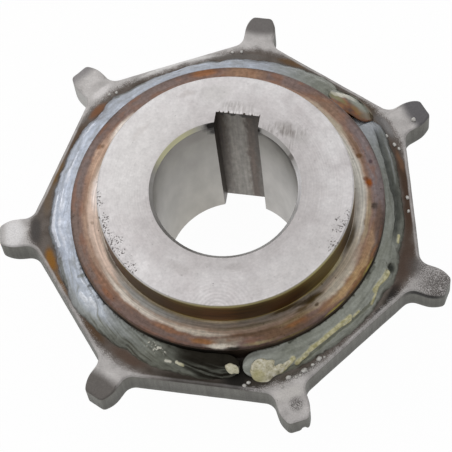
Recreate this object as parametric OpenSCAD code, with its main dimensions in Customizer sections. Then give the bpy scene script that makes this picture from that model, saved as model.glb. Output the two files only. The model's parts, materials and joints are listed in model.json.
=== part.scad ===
// Welded chain sprocket: a turned steel hub with a keyed bore, a flat toothed plate
// seated against the hub's shoulder, and a fillet weld laid round the shoulder in two runs.
// Frame: millimetres, bore axis on Z, origin in the plate's mid-plane (the chain's plane),
// +Z towards the hub's front nose, +Y through the keyway and the tooth above it.

/* [Toothed plate] */
// Number of teeth
teeth = 7; // [7:1:12]
// Length of one flat, measured between the centre lines of its two teeth
flat_l = 56.3; // [56:0.1:70]
// Height of a tooth above the corner of the two flats beside it
tooth_h = 8.4; // [6.5:0.1:14]
// Width of a tooth across its straight flanks
tooth_w = 10; // [8:0.5:16]
// Width of a tooth at its tip, measured to the corners before they are rounded
tip_w = 6; // [5:0.5:7]
// Length of the rounded part of a tooth, measured back from its tip
tip_round_l = 5.8; // [3:0.1:7]
// Radius on the two corners of the tip
tip_corner_r = 1.6; // [0.2:0.1:2]
// Radius in the corner between a tooth and a flat
root_r = 4; // [1:0.25:5.5]
// Thickness of the plate
plate_t = 10; // [6:0.5:20]
// Length of the thinned part of a tooth, measured back from its tip
relief_l = 7; // [2:0.5:8]
// Amount taken off each face at the tip
relief_d = 0.6; // [0.1:0.1:1.5]

/* [Hub] */
// Diameter of the shaft bore
bore_d = 45; // [44:0.5:50]
// Width of the keyway
keyway_w = 14; // [8:0.5:16]
// Depth of the keyway, measured from the crown of the bore
keyway_depth = 3.8; // [2:0.1:6]
// Diameter of the nose in front of the shoulder
nose_d = 80; // [72:0.5:90]
// Length of the nose in front of the shoulder
nose_l = 10.6; // [3:0.1:30]
// Diameter of the shoulder the plate seats against
shoulder_d = 99; // [94:0.5:100]
// Thickness of the shoulder
shoulder_t = 7; // [6:0.1:15]
// Diameter of the barrel that passes through the plate
barrel_d = 80; // [70:0.5:90]
// Length of the barrel behind the plate
barrel_l = 29.6; // [5:0.1:60]
// Radial clearance between the barrel and the hole in the plate
seat_clearance = 0.1; // [0.05:0.05:0.5]
// Chamfer at both mouths of the bore
bore_chamfer = 1.2; // [0.3:0.1:2]
// Chamfer on the outer edges of the hub
edge_chamfer = 0.5; // [0.2:0.1:1.2]

/* [Weld] */
// Leg of the fillet along the plate
weld_leg = 7; // [4:0.1:7.2]
// Leg of the fillet up the shoulder wall
weld_rise = 5; // [3:0.1:5.2]
// Crown of the bead above a straight fillet face
weld_crown = 0.9; // [0.2:0.1:1.2]
// Height of the ripples along the bead
ripple_h = 0.16; // [0.05:0.01:0.3]
// Spacing of the ripples along the bead, in degrees about the axis
ripple_deg = 6; // [4:0.5:12]
// Angle at which the long run starts
long_from_deg = 57; // [50:1:90]
// Angle at which the long run ends
long_to_deg = 283; // [200:1:284]
// Angle at which the short run starts
short_from_deg = 285; // [285:1:330]
// Angle at which the short run ends, counted on past a full turn
short_to_deg = 407; // [350:1:409]

/* [Hidden] */
// Half the angle between two teeth
half_pitch_deg = 180 / teeth;
// Distance from the axis to a flat
flat_r = flat_l / 2 / tan(half_pitch_deg);
// Distance from the axis to the corner of two flats
corner_r = flat_l / 2 / sin(half_pitch_deg);
// Distance from the axis to the tip of a tooth
tip_r = corner_r + tooth_h;
// Radius that draws a flank in towards the tip, and the centre it is struck from
draw_in = (tooth_w - tip_w) / 2;
flank_r = (pow(tip_round_l, 2) + pow(draw_in, 2)) / 2 / draw_in;
flank_centre = [tooth_w / 2 - flank_r, tip_r - tip_round_l];
// Centre of a tip corner's radius, which touches the flank and the tip
tip_rise = tip_round_l - tip_corner_r;
tip_centre_x = flank_centre[0] + sqrt(pow(flank_r - tip_corner_r, 2) - pow(tip_rise, 2));
tip_centre = [tip_centre_x, tip_r - tip_corner_r];
// Centre of a root radius, which touches the flank and the flat
root_y = (flat_r - tooth_w / 2 * sin(half_pitch_deg)) / cos(half_pitch_deg);
root_centre = [tooth_w / 2 + root_r, root_y + root_r * tan((90 - half_pitch_deg) / 2)];
// Angle at which flank and tip corner meet
meet_deg = atan2(tip_rise, tip_centre[0] - flank_centre[0]);
// Steps taken round each arc of the outline
arc_n = 8;
// Slope angle of the thinned tip faces
relief_deg = atan(relief_d / relief_l);
// Heights on the axis
plate_front = plate_t / 2;
plate_rear = -plate_t / 2;
ledge_z = plate_front + shoulder_t;
front_z = ledge_z + nose_l;
rear_z = plate_rear - barrel_l;
// Radii of the hub
bore_r = bore_d / 2;
nose_r = nose_d / 2;
shoulder_r = shoulder_d / 2;
barrel_r = barrel_d / 2;
keyway_floor = bore_r + keyway_depth;
// Weld bead: stations along it, points across it, and the length of a rounded end in degrees
station_deg = 1.5;
across_n = 9;
end_deg = 6;
// Places where the weld pooled (+) or drew in (-): angle, half width in degrees, swell in mm
long_laps = [
    [72, 8, 0.3], [102, 3, -0.8], [125, 3, -0.6], [141, 4, 1.0], [148, 3, -0.5], [156, 4, 0.4],
    [170, 2, -0.4], [192, 6, 0.8], [201, 3, -0.9], [222, 5, 0.9], [245, 3, -0.9], [262, 5, -0.3],
];
short_laps = [
    [297, 6, 0.7], [338, 2, -0.4], [343, 4, 0.8], [353, 5, -0.8], [378, 5, -0.9], [399, 5, 0.9],
];

$fn = 96;

// Points along an arc about a centre, from one angle to another, with the first steps left out if asked.
function arc(centre, r, from, to, skip = 0) =
    [for (i = [skip : arc_n]) let (a = from + (to - from) * i / arc_n) centre + r * [cos(a), sin(a)]];

// A point turned about the axis.
function turned(p, a) = [p[0] * cos(a) - p[1] * sin(a), p[0] * sin(a) + p[1] * cos(a)];

// Right-hand half of a tooth that points along +Y: root radius, flank, tip corner.
half_tooth = concat(
    arc(root_centre, root_r, 270 - half_pitch_deg, 180),
    arc(flank_centre, flank_r, 0, meet_deg),
    arc(tip_centre, tip_corner_r, meet_deg, 90, 1)
);
// The whole tooth, from its right-hand flat over the tip to its left-hand flat.
tooth = concat(half_tooth, [for (i = [len(half_tooth) - 1 : -1 : 0]) [-half_tooth[i][0], half_tooth[i][1]]]);

// Outline of the plate: the tooth repeated round the axis, with a flat from each to the next.
module plate_outline() {
    polygon([for (k = [0 : teeth - 1], p = tooth) turned(p, k * 2 * half_pitch_deg)]);
}

// A thin wedge that takes the relief off one face of every tooth tip.
module tip_relief() {
    for (k = [0 : teeth - 1]) {
        rotate(k * 2 * half_pitch_deg)
            translate([-tooth_w, tip_r - relief_l, plate_front])
                rotate([-relief_deg, 0, 0])
                    cube([2 * tooth_w, 2 * relief_l, 2 * relief_d + 1]);
    }
}

// The flat plate with its teeth, bored to pass over the hub's barrel.
module sprocket_plate() {
    color([0.52, 0.50, 0.50])
        difference() {
            translate([0, 0, plate_rear])
                linear_extrude(height = plate_t)
                    plate_outline();
            translate([0, 0, plate_rear - 1])
                cylinder(r = barrel_r + seat_clearance, h = plate_t + 2);
            tip_relief();
            mirror([0, 0, 1])
                tip_relief();
        }
}

// The turned hub: nose, shoulder and barrel in one piece, bored and keyed right through.
module hub() {
    color([0.74, 0.73, 0.72])
        difference() {
            rotate_extrude()
                polygon([
                    [bore_r + bore_chamfer, front_z], [nose_r - edge_chamfer, front_z],
                    [nose_r, front_z - edge_chamfer], [nose_r, ledge_z],
                    [shoulder_r - edge_chamfer, ledge_z], [shoulder_r, ledge_z - edge_chamfer],
                    [shoulder_r, plate_front], [barrel_r, plate_front],
                    [barrel_r, rear_z + edge_chamfer], [barrel_r - edge_chamfer, rear_z],
                    [bore_r + bore_chamfer, rear_z], [bore_r, rear_z + bore_chamfer],
                    [bore_r, front_z - bore_chamfer],
                ]);
            translate([-keyway_w / 2, 0, rear_z - 1])
                cube([keyway_w, keyway_floor, front_z - rear_z + 2]);
        }
}

// Sum of a list.
function total(v, i = 0) = i < len(v) ? v[i] + total(v, i + 1) : 0;

// Swell of the bead at one angle, from the places where it pooled or drew in.
function swell(a, laps) = total([for (l = laps) l[2] * exp(-pow((a - l[0]) / l[1], 2))]);

// Rounded ends: 1 along the bead, falling to a small nib at either end.
function end_size(a, from, to) =
    let (d = min(a - from, to - a) / end_deg)
    d >= 1 ? 1 : 0.3 + 0.7 * sqrt(max(0, 1 - pow(1 - d, 2)));

// One cross-section of the bead: its inner corner on the plate, then the crowned face.
function bead_section(a, from, to, laps, inner) =
    let (e = end_size(a, from, to))
    let (rise = weld_rise * e)
    let (leg = (weld_leg + swell(a, laps)) * e)
    let (crown = (weld_crown + ripple_h * sin(360 * a / ripple_deg)) * e)
    concat([[inner, 0]], [for (j = [0 : across_n - 1])
        let (t = j / (across_n - 1))
        let (bulge = crown * sin(180 * t))
        [inner + leg * t + bulge * 0.6, rise * (1 - t) + bulge * 0.8]]);

// A run of weld between two angles, laid against the shoulder wall and flat on the plate.
module weld_run(from, to, laps) {
    n = ceil((to - from) / station_deg);
    m = across_n + 1;
    inner = shoulder_r / cos((to - from) / n / 2);
    sections = [for (i = [0 : n])
        let (a = from + (to - from) * i / n)
        [for (p = bead_section(a, from, to, laps, inner)) [p[0] * cos(a), p[0] * sin(a), p[1]]]];
    corners = [for (s = sections) each s];
    sides = [for (i = [0 : n - 1], j = [0 : m - 1])
        let (a = i * m + j, b = i * m + (j + 1) % m)
        each [[a, b, a + m], [b, b + m, a + m]]];
    start_cap = [for (j = [1 : m - 2]) [0, j + 1, j]];
    end_cap = [for (j = [1 : m - 2]) [n * m, n * m + j, n * m + j + 1]];
    translate([0, 0, plate_front])
        polyhedron(points = corners, faces = concat(sides, start_cap, end_cap));
}

// The long run, from beside the keyway round to the front.
module weld_run_long() {
    color([0.62, 0.65, 0.69])
        weld_run(long_from_deg, long_to_deg, long_laps);
}

// The short run, which closes the ring.
module weld_run_short() {
    color([0.53, 0.55, 0.52])
        weld_run(short_from_deg, short_to_deg, short_laps);
}

sprocket_plate();
hub();
weld_run_long();
weld_run_short();
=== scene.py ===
# %% [markdown]
# # A welded chain sprocket
# The object is a steel plate with teeth, seated against the shoulder of a turned hub and held
# by a fillet weld that was laid in two runs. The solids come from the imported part. This lesson
# dresses them: the plate gets its worn edges, the weld its laps and slag, and every surface the
# colours that welding heat, soot and blasting left on it. Loading the part first means that each
# piece made here lands where the solids are, in metres.

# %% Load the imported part
import json
import math

import bpy
import numpy as np
from mathutils import Matrix, Vector, noise


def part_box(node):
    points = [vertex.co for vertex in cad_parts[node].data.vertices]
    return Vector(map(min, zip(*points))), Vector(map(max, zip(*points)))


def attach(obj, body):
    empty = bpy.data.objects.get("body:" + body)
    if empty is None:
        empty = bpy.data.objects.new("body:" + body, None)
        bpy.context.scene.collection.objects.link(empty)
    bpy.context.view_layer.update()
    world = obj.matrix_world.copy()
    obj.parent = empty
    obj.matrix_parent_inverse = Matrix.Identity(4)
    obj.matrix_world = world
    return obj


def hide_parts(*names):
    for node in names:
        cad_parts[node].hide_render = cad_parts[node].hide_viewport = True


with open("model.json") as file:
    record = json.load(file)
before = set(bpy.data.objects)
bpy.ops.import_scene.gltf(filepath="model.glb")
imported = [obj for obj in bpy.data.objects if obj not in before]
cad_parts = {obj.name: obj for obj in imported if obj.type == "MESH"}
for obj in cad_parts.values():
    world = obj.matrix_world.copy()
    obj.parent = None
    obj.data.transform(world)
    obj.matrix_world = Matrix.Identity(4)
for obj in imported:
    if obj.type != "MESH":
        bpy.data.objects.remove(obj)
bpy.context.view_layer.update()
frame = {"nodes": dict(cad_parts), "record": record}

print("nodes:", sorted(frame["nodes"]))

# %% [markdown]
# The frame knows the sizes that matter: the plate's thickness, the tip of the top tooth, the
# distance to a flat and the hub's faces. They are read from it, in millimetres, so that the
# pieces made below follow the solids if those change. The nose, the shoulder and the plate's
# hole are written here as in the source.

# %% Sizes from the frame
mounts = {m["name"]: m for m in frame["record"]["mounts"]}
plate_low, plate_high = (np.array(c) * 1000 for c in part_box("sprocket_plate"))
hub_low, hub_high = (np.array(c) * 1000 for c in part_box("hub"))
_, weld_high = (np.array(c) * 1000 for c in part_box("weld_run_long"))
plate_front = plate_high[2]
plate_rear = plate_low[2]
flat_r = -mounts["chain_flat"]["pos_m"][1] * 1000
tip_r = plate_high[1]
bore_r = mounts["bore"]["dims"]["r_mm"]
front_z = hub_high[2]
rear_z = hub_low[2]
shoulder_r = 49.5
nose_r = 40.0
hole_r = 40.1
shoulder_t = 7.0
ledge_z = plate_front + shoulder_t
weld_rise = weld_high[2] - plate_front
print("flat", round(flat_r, 2), "tip", round(tip_r, 2), "weld rise", round(weld_rise, 2))

# %% [markdown]
# The camera stands where the photographer stood. Fitting the ellipses of bore and nose gives a
# long lens, 64 degrees above the table and a little right of the keyway, with the picture rolled
# by some degrees. The crop isn't centred on the axis, so the lens is shifted by a few hundredths.

# %% Camera
view_az = math.radians(16.45)
view_el = math.radians(63.79)
view_roll = math.radians(-8.43)
view_distance = 0.63933
photo_px = 452
aim = Vector((0, 0, plate_front / 1000))
level_part = math.cos(view_el)
back = Vector((math.sin(view_az) * level_part, -math.cos(view_az) * level_part, math.sin(view_el)))
level_right = Vector((math.cos(view_az), math.sin(view_az), 0))
level_up = back.cross(level_right)
right = level_right * math.cos(view_roll) + level_up * math.sin(view_roll)
up = level_up * math.cos(view_roll) - level_right * math.sin(view_roll)
eye = bpy.data.objects.new("camera", bpy.data.cameras.new("camera"))
eye.data.lens = 160.7
eye.data.sensor_width = 36
eye.data.shift_x = -2.54 / photo_px
eye.data.shift_y = -12.74 / photo_px
facing = Matrix((right, up, back)).transposed()
eye.matrix_world = Matrix.LocRotScale(aim + back * view_distance, facing, None)
bpy.context.scene.collection.objects.link(eye)
bpy.context.scene.camera = eye
print("camera at", [round(c, 3) for c in eye.location])

# %% [markdown]
# Every material below is a tree of nodes. One small function adds a node, sets it up and fills
# or links its inputs. Another turns a colour written as on the web, in sRGB, into the linear
# values that the renderer works in. Two more start an empty material and end a finished one.

# %% Helpers for materials
def paint(code):
    """Linear RGBA of an sRGB hex colour."""
    parts = [int(code[i:i + 2], 16) / 255 for i in (1, 3, 5)]
    return [c / 12.92 if c <= 0.04045 else ((c + 0.055) / 1.055) ** 2.4 for c in parts] + [1.0]


def add(tree, kind, inputs=(), out=0, stops=(), **settings):
    """Adds one node, fills or links its inputs and returns one of its outputs."""
    made = tree.nodes.new("ShaderNode" + kind)
    for name, value in settings.items():
        setattr(made, name, value)
    for key, value in dict(inputs).items():
        if isinstance(value, bpy.types.NodeSocket):
            tree.links.new(value, made.inputs[key])
        else:
            made.inputs[key].default_value = value
    for i, (place, code) in enumerate(stops):
        elements = made.color_ramp.elements
        stop = elements[i] if i < 2 else elements.new(place)
        stop.position = place
        stop.color = paint(code)
    return made.outputs[out] if made.outputs else made


def new_material(name):
    """An empty material and its tree, ready for nodes."""
    material = bpy.data.materials.new(name)
    material.use_nodes = True
    material.node_tree.nodes.clear()
    return material, material.node_tree


def surface(tree, inputs):
    """Ends a tree with one all-round shader and the material's output."""
    add(tree, "OutputMaterial", {"Surface": add(tree, "BsdfPrincipled", inputs)})


print("helpers ready, mid grey is", round(paint("#808080")[0], 3))

# %% [markdown]
# Most nodes do one of a few jobs: blend two colours, reckon with numbers or with places, move a
# number into another range, make noise, or choose along a row of colours. Each job gets a short
# name. Noise is sized in lumps per millimetre wherever the place is given in millimetres.

# %% Short names for nodes
def mix(tree, share, first, second, **settings):
    """A blend of two colours, each a socket or a hex code."""
    first, second = (paint(c) if isinstance(c, str) else c for c in (first, second))
    return add(tree, "Mix", {0: share, 6: first, 7: second}, out=2, data_type="RGBA", **settings)


def calc(tree, operation, *values, **settings):
    """One step of arithmetic on single numbers."""
    return add(tree, "Math", enumerate(values), operation=operation, **settings)


def vec(tree, operation, *values):
    """One step of arithmetic on places; lengths and distances come out as single numbers."""
    out = "Value" if operation in ("LENGTH", "DISTANCE", "DOT_PRODUCT") else 0
    return add(tree, "VectorMath", enumerate(values), out=out, operation=operation)


def scaled(tree, value, factor):
    """A colour or a place times a single number."""
    return add(tree, "VectorMath", {0: value, "Scale": factor}, operation="SCALE")


def remap(tree, value, low=0.0, high=1.0, new_low=0.0, new_high=1.0, **settings):
    """A number moved from one range to another and kept inside it."""
    return add(tree, "MapRange", {0: value, 1: low, 2: high, 3: new_low, 4: new_high}, **settings)


def grainy(tree, place, scale, detail, roughness=0.5, **settings):
    """Smooth noise at a place; the scale counts its lumps per unit of the place."""
    inputs = {"Vector": place, "Scale": scale, "Detail": detail, "Roughness": roughness}
    return add(tree, "TexNoise", inputs, **settings)


def ramp(tree, value, stops):
    """Colours along a number from 0 to 1; the first two stops are its ends."""
    return add(tree, "ValToRGB", {0: value}, stops=stops)


def oval(tree, place, centre, half_l, half_w):
    """Distance from a centre, counted so that it is 1 on the border of an oval."""
    off = vec(tree, "SUBTRACT", place, centre)
    return vec(tree, "LENGTH", vec(tree, "MULTIPLY", off, (1 / half_l, 1 / half_w, 0)))


print("short names for nodes ready")

# %% [markdown]
# The setting is a photo table: white all round, with soft light from above and from the back
# left. The table is painted white for the camera and for reflections, and keeps a little plain
# diffuse white so that the object's faint shadow stays on it. The dome is brightest overhead and
# falls off towards the viewer, which gives the beads of the weld their form.

# %% Table and dome
world = bpy.data.worlds.new("photo dome")
bpy.context.scene.world = world
world.use_nodes = True
sky = world.node_tree
sky.nodes.clear()
toward = add(sky, "TexCoord", out="Generated")
lit_side = vec(sky, "DOT_PRODUCT", toward, (-0.40, 0.40, 0.82))
dome = remap(sky, lit_side, -0.4, 1.0, 0.30, 0.88)
seen = add(sky, "LightPath", out="Is Camera Ray")
level = add(sky, "Mix", {0: seen, 2: dome, 3: 1.0}, data_type="FLOAT")
shell = add(sky, "Background", {"Color": (1, 1, 1, 1), "Strength": level})
add(sky, "OutputWorld", {"Surface": shell})

table_paint, tree = new_material("white photo table")
views = ("Is Camera Ray", "Is Glossy Ray", "Is Transmission Ray")
rays = [add(tree, "LightPath", out=name) for name in views]
any_view = calc(tree, "MAXIMUM", rays[0], rays[1])
any_view = calc(tree, "MAXIMUM", any_view, rays[2])
share = calc(tree, "MULTIPLY", any_view, 0.975)
matt = add(tree, "BsdfDiffuse", {"Color": (0.9, 0.9, 0.9, 1)})
glow = add(tree, "Emission", {"Color": (1, 1, 1, 1), "Strength": 1.0})
add(tree, "OutputMaterial", {"Surface": add(tree, "MixShader", {0: share, 1: matt, 2: glow})})

bpy.ops.mesh.primitive_plane_add(size=6, location=(0, 0, rear_z / 1000))
table = bpy.context.object
table.name = "photo_table"
table.data.materials.append(table_paint)

key = bpy.data.objects.new("key_light", bpy.data.lights.new("key_light", "AREA"))
key.data.size = 0.6
key.data.energy = 1.0
key.location = (-0.45, 0.45, 0.75)
key.rotation_euler = (Vector((0, 0, 0)) - key.location).to_track_quat("-Z", "Y").to_euler()
bpy.context.scene.collection.objects.link(key)
bpy.context.scene.view_settings.view_transform = "Standard"
print("table at z =", round(rear_z, 2), "mm")

# %% [markdown]
# Marks on a round part are easiest to place by angle and radius. These nodes give each point's
# place in millimetres, its radius, and a place along the ring, as if the ring were unrolled at a
# radius of 50 mm. Unrolling needs a cut. Each material puts it where no mark lies.

# %% Places on a ring
unroll_r = 50.0


def ring_places(tree, cut=284.0):
    """Sockets for the place in mm, x, y, z, the radius and the unrolled place; cut is in degrees."""
    mm = scaled(tree, add(tree, "TexCoord", out="Object"), 1000.0)
    split = add(tree, "SeparateXYZ", {0: mm}).node
    flat = vec(tree, "MULTIPLY", mm, (1, 1, 0))
    radius = vec(tree, "LENGTH", flat)
    middle = math.radians(cut - 180)
    swung = add(tree, "VectorRotate", {"Vector": flat, "Angle": -middle}, rotation_type="Z_AXIS")
    swung = add(tree, "SeparateXYZ", {0: swung}).node
    angle = calc(tree, "ARCTAN2", swung.outputs[1], swung.outputs[0])
    along = calc(tree, "MULTIPLY_ADD", angle, unroll_r, middle * unroll_r)
    unrolled = add(tree, "CombineXYZ", {0: along, 1: radius, 2: split.outputs[2]})
    way = vec(tree, "NORMALIZE", flat)
    return {"mm": mm, "x": split.outputs[0], "y": split.outputs[1], "z": split.outputs[2], "r": radius,
            "ring": unrolled, "way": way, "cut": cut}


def ring_point(places, angle, radius):
    """The unrolled place of an angle in degrees and a radius in mm."""
    turned = angle - 360 if angle > places["cut"] else angle
    return (math.radians(turned) * unroll_r, radius, 0)


def polar(angle, radius, z=0.0):
    """The place in mm of an angle in degrees, a radius and a height."""
    return (radius * math.cos(math.radians(angle)), radius * math.sin(math.radians(angle)), z)


def ring_streaks(tree, places, length, across, width, detail):
    """Noise drawn long around the axis: length and width of a streak in mm, across names r or z."""
    swept = scaled(tree, places["way"], unroll_r / length)
    height = calc(tree, "MULTIPLY", places[across], 1.0 / width)
    place = vec(tree, "ADD", swept, add(tree, "CombineXYZ", {2: height}))
    return grainy(tree, place, 1.0, detail)


def ring_marks(tree, places, colour, marks, rough_edge):
    """Lays soft marks over a colour: angle, radius, half length, half width, hex colour, strength."""
    shaken = grainy(tree, places["mm"], 0.28, 4.0, out="Color")
    shaken = vec(tree, "SUBTRACT", shaken, (0.5, 0.5, 0.5))
    shaken = scaled(tree, shaken, rough_edge)
    spread = vec(tree, "ADD", places["ring"], shaken)
    for angle, radius, half_l, half_w, code, strength in marks:
        far = oval(tree, spread, ring_point(places, angle, radius), half_l, half_w)
        cover = remap(tree, far, 0.35, 1.15, strength, 0.0, interpolation_type="SMOOTHSTEP")
        colour = mix(tree, cover, colour, code)
    return colour


print("rings are unrolled at", unroll_r, "mm")

# %% [markdown]
# ## The hub
# The hub is turned from bar: a bright satin front face, a bore, a shoulder. Its shape in the
# solids is already right, so the node stays and only its finish is made. The face is plain
# machined steel with faint clouds from handling. The first step paints that face.

# %% Turned steel: the front face
hub_steel, tree = new_material("turned steel, satin")
at = ring_places(tree, cut=83.0)
cloud = remap(tree, grainy(tree, at["mm"], 0.11, 5.0, 0.6), 0.35, 0.65)
face = mix(tree, cloud, "#C7C2C2", "#DAD7D7")
near_bore = remap(tree, at["r"], 23.0, 35.0, 0.75, 0.0)
face = mix(tree, near_bore, face, "#B3AEAD")
face = ring_marks(tree, at, face, [
    (165, 31, 44, 10, "#D2CFCE", 0.8),
    (320, 35, 36, 6, "#C6C2C1", 0.7),
    (54, 27.6, 7, 3.0, "#A09B98", 0.75),
    (44, 29.5, 5, 2.6, "#B0ACAA", 0.6),
    (104, 34, 9, 4, "#C2BFBD", 0.6),
    (118, 36, 5, 1.2, "#BDB7B5", 0.6),
    (150, 34, 8, 1.5, "#BFBAB8", 0.5),
    (252, 30, 8, 2.0, "#B4AFAE", 0.6),
    (285, 27, 7, 1.6, "#ADA8A7", 0.6),
], 3.0)
smudge = remap(tree, grainy(tree, at["mm"], 0.34, 5.0, 0.7), 0.3, 0.7, 0.90, 1.06)
grain = remap(tree, grainy(tree, at["mm"], 1.3, 3.0), 0.3, 0.7, 0.93, 1.05)
grain = calc(tree, "MULTIPLY", grain, smudge)
face = scaled(tree, face, grain)
print("face painted with", len(tree.nodes), "nodes")

# %% [markdown]
# Three traces of work stay on the face: ticks of a scraper above the keyway and to its right,
# and a fan of fine arcs where a cutter ran out over the lower rim. The ticks are a noise drawn
# long in Y, kept inside soft ovals. The arcs are rings about a point on the rim, drawn about a
# millimetre apart.

# %% Traces of work on the face
ticks = vec(tree, "MULTIPLY", at["mm"], (1.7, 0.22, 0.0))
ticks = grainy(tree, ticks, 1.0, 3.0)
dark_ticks = remap(tree, ticks, 0.44, 0.62)
pale_ticks = remap(tree, ticks, 0.54, 0.42)
for x, y, half_x, half_y, lines, code, strength in (
        (15.4, 22.3, 9.0, 3.6, dark_ticks, "#7E7875", 0.75),
        (0.5, 26.9, 8.0, 0.7, pale_ticks, "#F2F0EF", 0.5),
        (0.5, 28.0, 7.0, 1.8, pale_ticks, "#E6E3E2", 0.35),
        (-1.0, 29.2, 7.0, 2.2, dark_ticks, "#9A9592", 0.55),
        (18.0, 17.5, 3.0, 3.5, dark_ticks, "#8A8582", 0.5)):
    far = oval(tree, at["mm"], (x, y, front_z), half_x, half_y)
    zone = remap(tree, far, 0.3, 1.0, strength, 0.0)
    cover = calc(tree, "MULTIPLY", zone, lines)
    face = mix(tree, cover, face, code)
far = vec(tree, "DISTANCE", at["mm"], (4.0, -41.0, front_z))
arcs = calc(tree, "SINE", calc(tree, "MULTIPLY", far, 5.5))
fade = remap(tree, far, 2.0, 14.0, 0.075, 0.0)
arcs = calc(tree, "MULTIPLY_ADD", arcs, fade, 1.0)
face = scaled(tree, face, arcs)
print("traces added,", len(tree.nodes), "nodes")

# %% [markdown]
# Near the rim small dark pits are left in the face, in patches on its left and right. Most are
# clumps, drawn where a fine noise rises over a level; between them lie round dots about half a
# millimetre apart from a Voronoi pattern. A few faint specks are strewn over the whole face. A
# straw-coloured line follows the lower rim.

# %% Pits near the rim
patchy = grainy(tree, at["mm"], 0.45, 3.0)
zone = None
for angle, radius, half_l, half_w in (
        (203, 38.8, 8, 2.2), (216, 38.2, 9, 3.4), (229, 38.2, 6, 2.2), (347, 37.9, 5, 2.3),
        (339, 38.4, 6, 1.9), (192, 39.2, 5, 1.0), (354, 38.9, 4, 1.0)):
    far = oval(tree, at["ring"], ring_point(at, angle, radius), half_l, half_w)
    part = remap(tree, far, 0.0, 1.3, 0.5, 0.0)
    zone = part if zone is None else calc(tree, "MAXIMUM", zone, part)
kept = calc(tree, "ADD", zone, patchy)
clumps = remap(tree, grainy(tree, at["mm"], 1.5, 1.5), 0.55, 0.64)
clumps = calc(tree, "MULTIPLY", clumps, remap(tree, kept, 0.70, 0.80))
cells = add(tree, "TexVoronoi", {"Vector": at["mm"], "Scale": 1.7}, out="Distance")
dots = remap(tree, cells, 0.14, 0.30, 0.8, 0.0)
dots = calc(tree, "MULTIPLY", dots, remap(tree, kept, 0.72, 0.84))
pits = calc(tree, "MAXIMUM", clumps, dots)
cells = add(tree, "TexVoronoi", {"Vector": at["mm"], "Scale": 0.24}, out="Distance")
strewn = remap(tree, cells, 0.03, 0.09, 0.22, 0.0)
pits = calc(tree, "MAXIMUM", pits, strewn)
face = mix(tree, pits, face, "#57514F")
face = ring_marks(tree, at, face, [
    (290, 40.0, 46, 0.62, "#A89C62", 0.9),
    (325, 40.0, 14, 0.62, "#C0B678", 0.8),
], 0.2)
print("pits added")
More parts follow.
